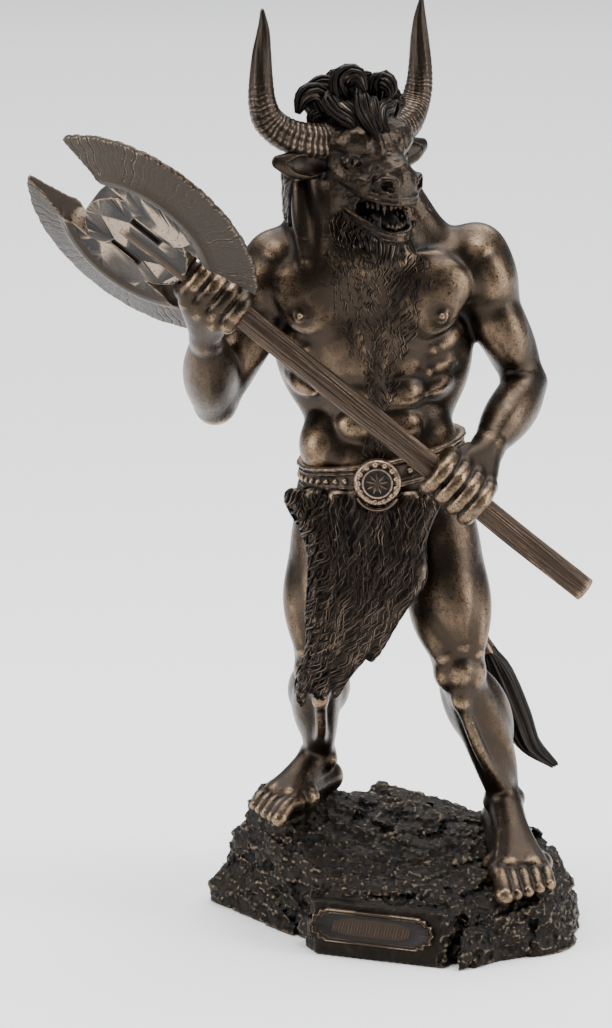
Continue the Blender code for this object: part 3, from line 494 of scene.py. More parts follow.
# Lay strands on a skin: each starts at a point and follows the flow, swaying from side to side
def comb(skin, starts, flow, length, thick, sway=0.5, lift=(-0.2, 0.4), turns=1.2, count=9, seed=0):
    random = np.random.default_rng(seed)
    strands = []
    for start in starts:
        at, path, facing = Vector(start), [], []
        phase = 2.2 * math.sin(0.33 * start[0] + 1.3) + 1.8 * math.sin(0.21 * start[2])
        phase += random.uniform(-0.7, 0.7)
        size = random.uniform(0.75, 1.25)
        for n in range(count):
            share = n / (count - 1)
            spot, normal = skin.find_nearest(at)[:2]
            if spot is None:
                break
            path.append(np.array(spot + normal * (lift[0] + (lift[1] - lift[0]) * share)))
            facing.append(np.array(normal))
            ahead = Vector(flow(np.array(spot)))
            ahead = (ahead - ahead.dot(normal) * normal).normalized()
            ahead += normal.cross(ahead) * sway * math.cos(phase + 6.28 * turns * share)
            at = spot + ahead.normalized() * length * size / (count - 1)
        if len(path) == count:
            strands.append((np.array(path), np.array(facing), taper(count, thick * random.uniform(0.8, 1.2))))
    return strands


# A flat lock as a bundle of fine strands wound a little round its path
def lock(points, radii, strandCount=5, twist=0.8, count=14, seed=0, wide=1.25, deep=0.7):
    path = curveThrough(points, count)
    sizes = sizesAlong(radii, count)
    ahead = np.gradient(path, axis=0)
    ahead /= np.linalg.norm(ahead, axis=1)[:, None]
    side = np.cross(ahead, vec(0.3, -1, 0.2))
    side /= np.linalg.norm(side, axis=1)[:, None]
    other = np.cross(side, ahead)
    phase = np.random.default_rng(seed).uniform(0, 6.28)
    strands = [(path, other, sizes * 0.62)]
    for number in range(strandCount):
        angle = phase + 6.28 * number / strandCount + twist * np.linspace(0, 1, count)
        out = wide * np.cos(angle)[:, None] * side + deep * np.sin(angle)[:, None] * other
        facing = out / np.linalg.norm(out, axis=1)[:, None]
        strands.append((path + 0.7 * sizes[:, None] * out, facing, sizes * 2.3 / (strandCount + 1.5)))
    return strands


# A closed skin of rings round a path; shape(share, angle) scales the rings
def sweep(name, path, radii, sides, shape, normal=(0, 0, 1)):
    path = np.array(path, float)
    ahead = np.gradient(path, axis=0)
    ahead /= np.linalg.norm(ahead, axis=1)[:, None]
    angle = np.linspace(0, 2 * np.pi, sides, endpoint=False)
    points, side = [path[0]], vec(*normal)
    for number, (at, way, radius) in enumerate(zip(path, ahead, radii)):
        side = unit(side - (side @ way) * way)
        other = np.cross(way, side)
        ring = np.cos(angle)[:, None] * side + np.sin(angle)[:, None] * other
        scale = radius * shape(number / (len(path) - 1), angle)
        points += list(at + ring * scale[:, None])
    points.append(path[-1])
    rings = len(path)
    faces = []
    for n in range(sides):
        m = (n + 1) % sides
        faces.append((0, 1 + m, 1 + n))
        faces.append((len(points) - 1, 1 + (rings - 1) * sides + n, 1 + (rings - 1) * sides + m))
        for r in range(rings - 1):
            a = 1 + r * sides
            faces.append((a + n, a + m, a + sides + m, a + sides + n))
    return makePiece(name, points, faces)


# Faces between rings of count points, from a flat back to one point in the middle of the front
def dishFaces(rings, count):
    last = (rings - 1) * count
    pairs = [(n, (n + 1) % count) for n in range(count)]
    faces = [(r * count + n, r * count + m, (r + 1) * count + m, (r + 1) * count + n)
             for r in range(rings - 1) for n, m in pairs]
    faces += [(last + n, last + m, rings * count) for n, m in pairs]
    return faces + [tuple(reversed(range(count)))]


def faceOutwards(piece, cuts=0):
    shape = bmesh.new()
    shape.from_mesh(piece.data)
    if cuts:
        bmesh.ops.subdivide_edges(shape, edges=shape.edges, cuts=cuts, use_grid_fill=True)
    bmesh.ops.recalc_face_normals(shape, faces=shape.faces)
    shape.to_mesh(piece.data)
    shape.free()


# Finishes: dark patina in the hollows, brown bronze, and rubbed metal on what stands proud; painted shade
# that a piece adds to its masks darkens through the same patina
def patinaGroup():
    tree, start, end = makeTree("patina", "ShaderNodeTree", [
        ("Dark", "NodeSocketColor", None), ("Brown", "NodeSocketColor", None),
        ("Rubbed", "NodeSocketColor", None),
        ("Wear", "NodeSocketFloat", 1.0), ("Patinashade", "NodeSocketFloat", 1.0),
        ("Gloss", "NodeSocketFloat", 0.36)],
        [("Color", "NodeSocketColor"), ("Roughness", "NodeSocketFloat"), ("Metal", "NodeSocketFloat")])
    crease = addNode(tree, "ShaderNodeAttribute", attribute_name="crease").outputs["Fac"]
    deep = addNode(tree, "ShaderNodeAttribute", attribute_name="hollow").outputs["Fac"]
    place = addNode(tree, "ShaderNodeTexCoord").outputs["Object"]
    cloud = addNode(tree, "ShaderNodeTexNoise", {"Vector": place, "Scale": 110.0, "Detail": 5.0}).outputs[0]
    speck = addNode(tree, "ShaderNodeTexNoise", {"Vector": place, "Scale": 1500.0, "Detail": 2.0}).outputs[0]

    def ramp(value, low, high):
        return addNode(tree, "ShaderNodeMapRange", {0: value, 1: low, 2: high},
                       interpolation_type="SMOOTHSTEP").outputs[0]

    # darker in the hollows: the patina, and painted shade where a piece has added it to its masks
    patinashade = math1(tree, "MAXIMUM", ramp(crease, 0.01, 0.16), ramp(deep, 0.08, 0.9))
    patinashade = math1(tree, "MULTIPLY", patinashade, start.outputs["Patinashade"], True)
    clouds = math1(tree, "MULTIPLY", math1(tree, "SUBTRACT", cloud, 0.5), 0.9)
    mottle = math1(tree, "ADD", patinashade, clouds, True)
    worn = math1(tree, "MAXIMUM", ramp(math1(tree, "MULTIPLY", crease, -1.0), 0.02, 0.14),
                 math1(tree, "MULTIPLY", ramp(math1(tree, "MULTIPLY", deep, -1.0), 0.15, 1.1), 0.75))
    rub = math1(tree, "MULTIPLY", worn, math1(tree, "ADD", 0.45, cloud))
    rub = math1(tree, "MULTIPLY", rub, start.outputs["Wear"], True)
    rub = math1(tree, "MULTIPLY", rub, ramp(speck, 0.28, 0.5))
    base = mixColour(tree, rub, start.outputs["Brown"], start.outputs["Rubbed"])
    colour = mixColour(tree, mottle, base, start.outputs["Dark"])
    rough = math1(tree, "ADD", start.outputs["Gloss"], math1(tree, "MULTIPLY", mottle, 0.25))
    rough = math1(tree, "ADD", rough, math1(tree, "MULTIPLY", math1(tree, "SUBTRACT", speck, 0.5), 0.22))
    metal = math1(tree, "SUBTRACT", 0.95, math1(tree, "MULTIPLY", mottle, 0.45))
    for label, value in (("Color", colour), ("Roughness", rough), ("Metal", metal)):
        tree.links.new(value, end.inputs[label])
    return tree


def mixColour(tree, share, a, b):
    node = tree.nodes.new("ShaderNodeMix")
    node.data_type = "RGBA"
    for socket, value in ((node.inputs[0], share), (node.inputs[6], a), (node.inputs[7], b)):
        if isinstance(value, bpy.types.NodeSocket):
            tree.links.new(value, socket)
        else:
            socket.default_value = value
    return node.outputs[2]


# Fine grain of the casting: pits, soft lumps and fine scratches, as a height
def grainGroup():
    tree, start, end = makeTree("castGrain", "ShaderNodeTree", [
        ("Pits", "NodeSocketFloat", 0.4), ("Lumps", "NodeSocketFloat", 0.5),
        ("Scratches", "NodeSocketFloat", 0.3)],
        [("Height", "NodeSocketFloat")])
    place = addNode(tree, "ShaderNodeTexCoord").outputs["Object"]
    pits = addNode(tree, "ShaderNodeTexNoise", {"Vector": place, "Scale": 2600.0, "Detail": 3.0}).outputs[0]
    lumps = addNode(tree, "ShaderNodeTexNoise", {"Vector": place, "Scale": 420.0, "Detail": 3.0}).outputs[0]
    stretch = addNode(tree, "ShaderNodeMapping", {"Vector": place, "Scale": (5200.0, 5200.0, 500.0),
                                                  "Rotation": (0.5, 0.4, 0.0)}).outputs[0]
    scratch = addNode(tree, "ShaderNodeTexNoise", {"Vector": stretch, "Scale": 1.0, "Detail": 1.0}).outputs[0]
    parts = [math1(tree, "MULTIPLY", value, start.outputs[label])
             for value, label in ((pits, "Pits"), (lumps, "Lumps"), (scratch, "Scratches"))]
    total = math1(tree, "ADD", math1(tree, "ADD", parts[0], parts[1]), parts[2])
    tree.links.new(total, end.inputs["Height"])
    return tree


groups = {"patina": patinaGroup(), "grain": grainGroup()}
finishes = {
    "bronzeSkin": {"dark": (0.006, 0.005, 0.004), "brown": (0.036, 0.026, 0.0185),
                   "rubbed": (0.33, 0.222, 0.135),
                   "wear": 0.75, "patinashade": 1.15, "gloss": 0.3, "grain": (0.3, 0.8, 0.4), "bump": 0.00014},
    "bronzeHair": {"dark": (0.004, 0.003, 0.003), "brown": (0.014, 0.011, 0.009),
                   "rubbed": (0.3, 0.215, 0.15),
                   "wear": 0.9, "patinashade": 1.2, "gloss": 0.33, "grain": (0.3, 0.4, 0.5), "bump": 0.0001},
    "bronzeHorn": {"dark": (0.006, 0.005, 0.004), "brown": (0.028, 0.021, 0.016),
                   "rubbed": (0.34, 0.24, 0.17),
                   "wear": 0.9, "patinashade": 1.1, "gloss": 0.34, "grain": (0.3, 0.5, 0.8), "bump": 0.00012},
    "bronzeAxe": {"dark": (0.007, 0.006, 0.005), "brown": (0.034, 0.027, 0.021),
                  "rubbed": (0.36, 0.265, 0.19),
                  "wear": 0.9, "patinashade": 1.2, "gloss": 0.36, "grain": (0.6, 0.8, 0.5), "bump": 0.00016},
    "bronzeWood": {"dark": (0.009, 0.007, 0.006), "brown": (0.05, 0.035, 0.025), "rubbed": (0.28, 0.19, 0.13),
                   "wear": 0.9, "patinashade": 1.2, "gloss": 0.4, "grain": (0.5, 0.4, 0.6), "bump": 0.00014},
    "bronzeRock": {"dark": (0.005, 0.004, 0.004), "brown": (0.016, 0.013, 0.01),
                   "rubbed": (0.2, 0.152, 0.108),
                   "wear": 0.7, "patinashade": 1.2, "gloss": 0.38, "grain": (0.9, 0.9, 0.2), "bump": 0.0002},
    "bronzePlate": {"dark": (0.008, 0.006, 0.005), "brown": (0.045, 0.033, 0.025),
                    "rubbed": (0.34, 0.24, 0.165),
                    "wear": 0.9, "patinashade": 1.2, "gloss": 0.34, "grain": (0.4, 0.5, 0.4), "bump": 0.0001},
}


def makeMaterial(name, finish):
    material = bpy.data.materials.new(name)
    material.use_nodes = True
    tree = material.node_tree
    shader = tree.nodes["Principled BSDF"]
    patina = addNode(tree, "ShaderNodeGroup", node_tree=groups["patina"])
    for label in ("dark", "brown", "rubbed"):
        patina.inputs[label.capitalize()].default_value = (*finish[label], 1)
    for label in ("wear", "patinashade", "gloss"):
        patina.inputs[label.capitalize()].default_value = finish[label]
    grain = addNode(tree, "ShaderNodeGroup", node_tree=groups["grain"])
    for socket, value in zip(grain.inputs, finish["grain"]):
        socket.default_value = value
    bump = addNode(tree, "ShaderNodeBump", {"Height": grain.outputs[0], "Distance": finish["bump"],
                                            "Strength": 1.0})
    tree.links.new(patina.outputs["Color"], shader.inputs["Base Color"])
    tree.links.new(patina.outputs["Roughness"], shader.inputs["Roughness"])
    tree.links.new(patina.outputs["Metal"], shader.inputs["Metallic"])
    tree.links.new(bump.outputs[0], shader.inputs["Normal"])
    return material


materials = {name: makeMaterial(name, finish) for name, finish in finishes.items()}
print("finishes made:", ", ".join(materials))

# The figure's joints, in millimetres from the centre of the rim's top
pose = {
    "pelvis": vec(-3, 5, 130), "waist": vec(-5, 3, 153), "chest": vec(-8, 1, 194),
    "neck": vec(-12, 2, 219), "skull": vec(-12, -2, 248),
    "shoulderR": vec(-37, 3, 207), "elbowR": vec(-58, -3, 163), "gripR": vec(-57, -38, 205.5),
    "shoulderL": vec(25, 4, 209), "elbowL": vec(43, 6, 168), "gripL": vec(20.5, -38, 142),
    "hipR": vec(-19, 4, 126), "kneeR": vec(-24, -9, 76), "ankleR": vec(-24.5, 13, 38),
    "ballR": vec(-36, -3, 28),
    "hipL": vec(13, 5, 126), "kneeL": vec(22, -7, 75), "ankleL": vec(38, 5, 25), "ballL": vec(42, -22, 9.5),
}
up = vec(0, 0, 1)
headTurn = 40.0  # degrees from straight ahead round to the camera's right


def torso(clay):
    waist, chest, neck = pose["waist"], pose["chest"], pose["neck"]
    egg(clay, pose["pelvis"], (22, 16, 15))
    egg(clay, waist + vec(0, 0, 2), (23, 14.5, 24), 5)
    egg(clay, chest - vec(0, 0, 5), (27, 16.5, 30), 5)
    cone(clay, pose["shoulderR"], pose["shoulderL"], 9, 9, 8)
    for side in (-1, 1):
        cone(clay, chest + vec(21 * side, 3, 18.5), neck + vec(9 * side, 2, 14), 7, 9.5, 7)  # trapezius
        rope(clay, [neck + vec(4 * side, -14, -7), chest + vec(14 * side, -13, 19),
                    chest + vec(26 * side, -5, 18)],
             (0.4, 0.7, 0.4), 5)  # collar bone
        egg(clay, chest + vec(15.5 * side, -10, 4), (14, 7.2, 12.5), 1.6)  # breast
        egg(clay, chest + vec(19 * side, -9.5, 9), (13, 6.6, 10), 3)
        muscle(clay, chest + vec(22 * side, -8, 5), chest + vec(33 * side, -2, 13), (6, 5), 6.6, 3)
        egg(clay, chest + vec(22.5 * side, -15.5, 0), (2.4, 1.2, 2.4), 1.2)  # nipple
        egg(clay, chest + vec(22.7 * side, -16.8, 0), (1.0, 0.9, 1.0), 0.4)
        muscle(clay, chest + vec(27 * side, 4, 2), waist + vec(19 * side, 3, 4), 4, 9, 5)  # flank
        for row in range(3):  # ribs' muscles, like fingers
            at = chest + vec((20.5 - 1.2 * row) * side, -9.2, -12 - 7.2 * row)
            muscle(clay, at, at + vec(7 * side, 7, 4.5), (1.2, 2), 3.5, 4)
        egg(clay, waist + vec(17 * side, -4.5, -4), (9, 9.5, 11), 3)  # side of the belly
        egg(clay, waist + vec(8 * side, -10.6, -8), (8, 4.8, 7.5), 2.4)
        egg(clay, pose["pelvis"] + vec(13 * side, 12, -7), (12, 11, 14), 3)
        for row in range(3):  # belly blocks
            egg(clay, waist + vec(6.6 * side, -11 - 0.3 * row, 25 - 10.5 * row), (7, 4.4, 5.6), 2)
        egg(clay, chest + vec(14 * side, 15, 4), (12, 5, 15), 3)  # shoulder blade
        muscle(clay, chest + vec(6 * side, 16, -2), waist + vec(7 * side, 13, -8), (4, 4), 6, 3)  # back
    spine = [waist + vec(0, 18, -10), waist + vec(0, 18, 12), chest + vec(0, 19.5, 0), chest + vec(0, 17, 16)]
    rope(clay, spine, (2, 2.4, 2), 3, remove=True)
    rope(clay, [chest + vec(0, -18.3, 16), chest + vec(0, -18.3, 0), waist + vec(0, -16.6, 10)],
         (1.8, 1.6), 3, remove=True)
    neckMuscles(clay)


def neckMuscles(clay):
    neck, skull = pose["neck"], pose["skull"]
    cone(clay, neck + vec(-1, 2, -8), skull + vec(-8, 8, -11), 21.5, 15.5, 6)
    for side in (-1, 1):
        for lean, size in ((-11, 3.4), (-4, 4.2), (4, 4.2)):
            low = neck + vec((11 - 0.4 * lean) * side - 1, -8 + lean * 0.6, -7)
            muscle(clay, low, skull + vec(13 * side - 6, lean + 5, -13), (2, 2.2), size, 3.2)


def grips():
    along = unit(pose["gripL"] - pose["gripR"])
    front = unit(vec(0, -1, 0) - (vec(0, -1, 0) @ along) * along)
    return along, front, np.cross(front, along)


def aroundShaft(middle, degrees, radius):
    front, rise = grips()[1:]
    angle = math.radians(degrees)
    return middle + radius * (math.cos(angle) * front + math.sin(angle) * rise)


axe = {"shaftRadius": 4.1, "shaftLength": 181.0, "reach": 29.5, "blade": 41.5, "bevel": 28.0, "body": 18.6,
       "thickness": 9.0, "edge": 1.4, "notch": 30.0, "turn": 50.0, "slotSpacing": 17.4,
       "slots": (11.0, 3.0, 1.4)}


# An arm from shoulder to fingers; the fingers bend round the shaft from first to last
def arm(clay, name, offsets, first, last, palm):
    shoulder, elbow, grip = pose["shoulder" + name], pose["elbow" + name], pose["grip" + name]
    along = grips()[0]
    finger = 2.6
    reach = axe["shaftRadius"] + finger - 0.8
    hand = aroundShaft(grip, palm, reach + 1)
    wrist = hand + 0.3 * (elbow - hand)
    outward = unit(shoulder - pose["chest"] * vec(1, 1, 0) - vec(0, 0, shoulder[2]))
    bone = unit(elbow - shoulder)
    ahead = unit(vec(0, -1, 0) - (vec(0, -1, 0) @ bone) * bone)
    side = outward - (outward @ bone) * bone
    egg(clay, shoulder + 1.5 * outward - 2 * up, (11.5, 11.5, 14), 4)
    for lean, way in ((-5.5, 1.0), (0, 3.5), (6, 1.5)):  # three heads of the shoulder muscle
        muscle(clay, shoulder + way * side + lean * ahead + 2 * up,
               shoulder + 20 * bone + 2.5 * side + 0.35 * lean * ahead,
               (6, 2.5), 8.6, 2.4)
    muscle(clay, shoulder, elbow, (8.5, 6), 8.8, 4)
    # biceps, triceps and the outer side
    muscle(clay, shoulder + 8 * bone + 3.5 * ahead, elbow - 4 * bone + 3 * ahead, (4, 3), 8.2, 1.6)
    muscle(clay, shoulder + 8 * bone - 4.5 * ahead, elbow - 3 * bone - 2.5 * ahead, (4, 4), 7.8, 1.6)
    muscle(clay, shoulder + 16 * bone + 4 * side, elbow - 2 * bone + 3.5 * side, (3, 3), 5.2, 1.5)
    egg(clay, elbow - 2 * ahead + 2 * bone, (5, 5, 5), 2)
    fore = unit(wrist - elbow)
    wide = unit(np.cross(fore, along)) if abs(fore @ along) < 0.9 else side
    muscle(clay, elbow, wrist, (6.5, 5), 7, 3)
    for way, size in ((3.2, 7.2), (-3.2, 6.6)):
        muscle(clay, elbow + way * wide, wrist + 0.4 * way * wide, (3.5, 2.4), size, 1.6)
    muscle(clay, elbow + 3 * outward, wrist + 1.5 * outward, (4, 2.4), 7, 1.6)
    for offset in (-5, 0, 5):
        cone(clay, wrist, hand + offset * along, 4.6, 4.0, 2)
    for number, offset in enumerate(offsets):
        middle = grip + offset * along
        end = last - 12 * abs(number - 1)
        steps = np.linspace(first, end, 7)
        path = [aroundShaft(middle, degrees, reach) for degrees in steps]
        rope(clay, path, (finger + 0.7, finger, finger + 0.2, finger - 0.2, finger + 0.1, 2.1), 0.5)
        knuckle = aroundShaft(middle, first, reach + 1.1)
        egg(clay, knuckle, (2.9, 2.9, 2.9), 1)
        tendonEnd = 0.5 * knuckle + 0.5 * wrist + 2.2 * unit(knuckle - grip)
        rope(clay, [knuckle, tendonEnd], (1.2, 0.9), 1.2)
        nail = aroundShaft(middle, end, reach + 1.4)
        egg(clay, nail, (1.5, 1.5, 1.5), 0.3)
    turn = 1 if last > first else -1
    path = [aroundShaft(grip + offset * along, palm - turn * degrees, reach + 0.3)
            for offset, degrees in ((-5, 10), (-9, 55), (-8, 95), (-6, 130))]
    rope(clay, path, (3.4, 3, 2.7, 2.2), 0.8)


def leg(clay, name):
    hip, knee, ankle, ball = (pose[part + name] for part in ("hip", "knee", "ankle", "ball"))
    side = 1 if name == "L" else -1
    muscle(clay, hip, knee, (13, 8), 13.2, 5)
    muscle(clay, hip + vec(2 * side, -6, -8), knee + vec(0.5 * side, -4, 9), (5, 4), 9.4, 2)  # front
    muscle(clay, hip + vec(8 * side, -2, -12), knee + vec(4.5 * side, -3, 6), (5, 3.5), 8.6, 1.5)  # outer
    muscle(clay, hip + vec(-4 * side, -3, -22), knee + vec(-4.5 * side, -3.5, 5), (4, 4.6), 7.6, 1.5)  # inner
    muscle(clay, hip + vec(0, 8, -10), knee + vec(0, 6, 6), (7, 4), 9, 2)
    muscle(clay, hip + vec(-7 * side, 2, -10), knee + vec(-5 * side, 4, 2), (4, 2.5), 6, 2)
    egg(clay, knee + vec(0, -5.5, 0), (4.6, 3.8, 5.4), 1.5)  # kneecap
    for way in (-1, 1):
        egg(clay, knee + vec(4.5 * way, -2.5, -1.5), (3.8, 4, 5), 2)
    cone(clay, knee + vec(0, -4.5, -4), knee + vec(0, -5, -11), 2.2, 2.4, 2)
    muscle(clay, knee + vec(0, 1, -2), ankle, (7, 4.6), 6.6, 4)
    shin = knee + vec(0, -4.5, -10)
    rope(clay, [shin, 0.5 * (shin + ankle) + vec(-0.6 * side, -4.4, 0), ankle + vec(0, -3, 4)],
         (2, 2, 1.8), 2)
    for inner, size, end in ((-3.6, 8.6, 12), (4, 8, 14)):  # calf
        muscle(clay, knee + vec(inner, 6, -3), ankle + vec(0, 3.5, end), (3.6, 2.2), size, 1.8)
    muscle(clay, knee + vec(5 * side, 0, -5), ankle + vec(3 * side, 1, 6), (2.4, 1.8), 5, 1.6)
    rope(clay, [ankle + vec(0, 5, 16), ankle + vec(0, 6, 4), ankle + vec(0, 5, -4)], (2.2, 1.8, 2.6), 2)
    forward = unit((ball - ankle) * vec(1, 1, 0))
    across = vec(-forward[1], forward[0], 0) * side
    slight = 1.0 if name == "L" else 0.82
    heel = vec(ankle[0], ankle[1], 0) - 6 * slight * forward + vec(0, 0, ankle[2] - 9)
    for spread in (-3 * slight, 3 * slight):
        cone(clay, ankle, ball + spread * across + up, 5, 4.2 * slight, 3)
        cone(clay, heel, ball + 1.8 * spread * across, 6 * slight, 4 * slight, 3)
    for way, drop in ((4.4, 0), (-4.4, -1)):
        egg(clay, ankle + way * across + drop * up, (2.8, 3, 3.2), 1.5)
    slope = (ball[2] - ankle[2]) / np.linalg.norm((ball - ankle)[:2])
    for number in range(5):
        root = ball + slight * (4 * number - 8) * across + 1.5 * forward
        length = (12, 11.5, 10.5, 9, 7.5)[number] * slight
        size = (3.3, 2.4, 2.3, 2.2, 2.1)[number] * slight
        tip = root + length * forward + vec(0, 0, max(slope, -0.5) * length * 0.6)
        rope(clay, [root, (root + tip) / 2 + 1.6 * up, tip + 0.2 * up, tip],
             (size, size * 0.86, size, size * 0.9), 0.6)
        nail = tip + 0.45 * size * forward + 0.62 * size * up
        egg(clay, nail, (0.55 * size, 0.6 * size, 0.3 * size), 0.15)
        cone(clay, root - 6 * forward, ball - 8 * forward - 6 * up, 4, 5, 2)
        rope(clay, [root + 1.9 * up, ankle + 0.25 * (root - ankle) + 3.4 * up], (1.0, 0.8), 1.4)  # tendon


def headPlace(side, forward, rise):
    turn = math.radians(headTurn)
    ahead = vec(math.sin(turn), -math.cos(turn), 0)
    across = vec(math.cos(turn), math.sin(turn), 0)
    return pose["skull"] + side * across + forward * ahead + rise * up


def headAxes():
    return [headPlace(1, 0, 0) - pose["skull"], headPlace(0, 1, 0) - pose["skull"], up]


# A rope through points of the head, on one side of it
def fold(clay, side, points, radii, blend, remove=False):
    rope(clay, [headPlace(a * side, b, c) for a, b, c in points], radii, blend, remove=remove)


def bullHead(clay):
    at, axes = headPlace, headAxes()
    egg(clay, at(0, 0, 0), (13.5, 14, 12), 4, axes)
    egg(clay, at(0, -1, 9), (11, 10, 8), 3, axes)  # the mass of hair between the horns
    egg(clay, at(0, 8, 1.5), (12, 7.5, 7.5), 3, axes)
    cone(clay, at(0, 5, -5), at(0, 16, -10.5), 10.5, 7.4, 3)
    rope(clay, [at(0, 10, 0), at(0, 14.5, -4.2), at(0, 19, -8)], (4.6, 4.4, 4.4), 2)  # nose bone
    egg(clay, at(0, 19.4, -11.6), (8.2, 4.8, 5.6), 1.6, axes)
    cone(clay, at(0, 1, -14), at(0, 14.5, -26.4), 9.5, 4.4, 3)
    for side in (-1, 1):
        cone(clay, at(4.6 * side, 3, -14), at(4 * side, 14.2, -26), 6.5, 3.8, 3)
        cone(clay, at(8.8 * side, 2, -6), at(7.6 * side, 12, -11.5), 6, 4.2, 2)
        egg(clay, at(10.4 * side, -1, -14), (5, 7.5, 9), 1.5, axes)  # jaw muscle
        fold(clay, side, [(12.6, 2, -7), (11.8, 8, -9.6), (9.2, 13, -11)], (1.8, 2.2, 1.4), 1.4)
    gape = unit(at(0, 1, -0.3) - at(0, 0, 0))
    egg(clay, at(0, 16, -20.6), (10.6, 12.6, 5.2), 0.8, [axes[0], gape, np.cross(axes[0], gape)], remove=True)
    mouth(clay)
    for side in (-1, 1):
        egg(clay, at(11.4 * side, 10, -4.2), (3, 3.4, 2.6), 0.6, axes, remove=True)
        egg(clay, at(10.2 * side, 8.7, -4.2), (2.8, 2.8, 2.4), 0.15, axes)
        eyeRing(clay, side)
        brow(clay, side)
        nostril(clay, side)
        ear(clay, side)
        cone(clay, at(6 * side, 0, 2.5), at(11 * side, -0.8, 2), 7, 6.2, 2)  # the horn's root


def brow(clay, side):
    folds = [([(13.4, 4.6, 0.6), (12, 9.4, 0.8), (8.6, 12.8, 0), (5.4, 14.8, -2)], 1.9, 1.6),
             ([(12.6, 6, 3), (9.4, 10.6, 3.4), (5.4, 13, 3)], 2.6, 3.6),
             ([(5.4, 12.4, 4.6), (4.4, 14.8, 1), (3.8, 16, -3.2)], 1.6, 1.0),
             ([(6, 15, -6), (2.8, 18.2, -5.6), (0, 18.8, -4.6)], 1.0, 0.9),
             ([(6.8, 16.8, -8.6), (3.2, 20.6, -7.8), (0, 21.8, -7)], 1.1, 0.9),
             ([(9.4, 12, -6.6), (9.6, 11.2, -9), (8.6, 13.4, -12.6)], 0.9, 1.0),
             ([(8.2, 17, -7.8), (9.2, 15.6, -10.6), (9.6, 12.8, -12.6)], 0.6, 1.6)]
    for path, size, blend in folds:
        fold(clay, side, path, (0.6 * size, size, size, 0.5 * size), blend)
    for shift in (0, 1.5, 3):  # fine wrinkles over the brow
        fold(clay, side, [(12.4, 8.4 - shift, 1.4 + shift), (9, 12.8 - 0.6 * shift, 1.8 + shift),
                          (6, 14.8 - 0.6 * shift, 1 + shift)],
             (0.2, 0.4, 0.2), 0.5, True)


def nostril(clay, side):
    egg(clay, headPlace(6.4 * side, 20.6, -11), (2.8, 2.6, 3.2), 0.8, headAxes())
    rim = [(8.8, 18.4, -12.4), (8.8, 19, -9.8), (7, 21.6, -8.7), (5, 23.4, -9.5), (4.4, 23.8, -11)]
    fold(clay, side, rim, (0.2, 0.45, 0.55, 0.2), 1.2)
    egg(clay, headPlace(7.2 * side, 22.2, -11), (1.7, 2.6, 1.6), 0.4, headAxes(), remove=True)
    egg(clay, headPlace(5.9 * side, 23.2, -12.3), (1.2, 1.8, 1.0), 0.4, headAxes(), remove=True)


def eyeRing(clay, side):
    upper = [(8.6, 11.8, -4.3), (10, 11.6, -2.3), (11.7, 10.1, -1.9), (13, 7.4, -3.2)]
    lower = [(8.6, 11.8, -4.6), (10, 11.5, -6.3), (11.7, 10, -6.4), (13, 7.4, -4)]
    pouch = [(9, 12, -7), (11, 10.6, -8.4), (13, 7.6, -7)]
    for arc, size in ((upper, 0.7), (lower, 0.6), (pouch, 0.7)):
        fold(clay, side, arc, (size * 0.5, size, size, size * 0.6), 0.35)
    egg(clay, headPlace(11.6 * side, 10.4, -4.1), (0.45, 0.6, 1.2), 0.15, headAxes(), remove=True)  # pupil


def mouth(clay):
    at = headPlace
    upper = [(10.4, 4.8, -18.8), (10.4, 6.6, -15.8), (9.8, 9.8, -14.3), (8.8, 14, -14.9),
             (7.6, 18, -15.9), (5, 22, -16.6), (0, 23.2, -17)]
    lower = [(10.4, 4.8, -19), (9.8, 8, -20.8), (8.7, 12.4, -22.8), (7.2, 16.2, -24.9),
             (5.6, 18.7, -26.3), (3, 20.2, -27.1), (0, 20.7, -27.3)]
    for arc in (upper, lower):
        whole = [(-a, b, c) for a, b, c in arc] + arc[-2::-1]
        rope(clay, [at(*point) for point in whole], (1.0, 1.1, 1.0), 0.6)
        away = 1.7 if arc is upper else -1.8
        rope(clay, [at(a * 1.02, b + 0.3, c + away) for a, b, c in whole[1:-1]], (0.5, 0.8, 0.5), 0.7)
    for side in (-1, 1):
        cone(clay, at(6 * side, 19.6, -17.2), at(5.8 * side, 19.4, -20.8), 1.0, 0.3, 0.3)
        cone(clay, at(5.8 * side, 16.8, -24.8), at(5.6 * side, 17.2, -21.4), 0.9, 0.3, 0.3)
        for number in range(6):
            spread, forward = 7.4, 20.5 - 2.4 * (number - 2)
            if number < 3:  # front teeth
                spread, forward = 1 + 1.5 * number, 21.4 - 0.4 * number
            egg(clay, at(spread * side, forward, -18), (0.7, 0.7, 1.3), 0.2)
            egg(clay, at(spread * 0.9 * side, forward - 2.4, -25.6 + 0.6 * number), (0.65, 0.65, 1.3), 0.2)
    rope(clay, [at(0, 7, -21), at(0, 12.5, -23.2), at(0, 16.4, -25)], (4.4, 4.4, 3.2), 0.8, flat=0.5, face=up)
    rope(clay, [at(0, 8, -18.9), at(0, 16, -23.2)], (0.5, 0.4), 0.4, remove=True)


def ear(clay, side):
    at = headPlace
    face = unit(at(0.35 * side, 1, 0.1) - at(0, 0, 0))
    path = [at(11 * side, -2, -6.2), at(16 * side, -1.6, -6), at(21 * side, -1.4, -5.7),
            at(26 * side, -2, -5), at(30.6 * side, -3, -4)]
    rope(clay, path, (2.8, 4.4, 4.8, 4.1, 2.3), 1, flat=0.5, face=face)
    inner = [at(15 * side, 0.4, -6), at(19.5 * side, 0.6, -5.6), at(24 * side, 0, -5.2),
             at(28 * side, -1, -4.6)]
    rope(clay, inner, (1.8, 3.5, 2.8, 0.8), 0.5, flat=0.6, face=face, remove=True)


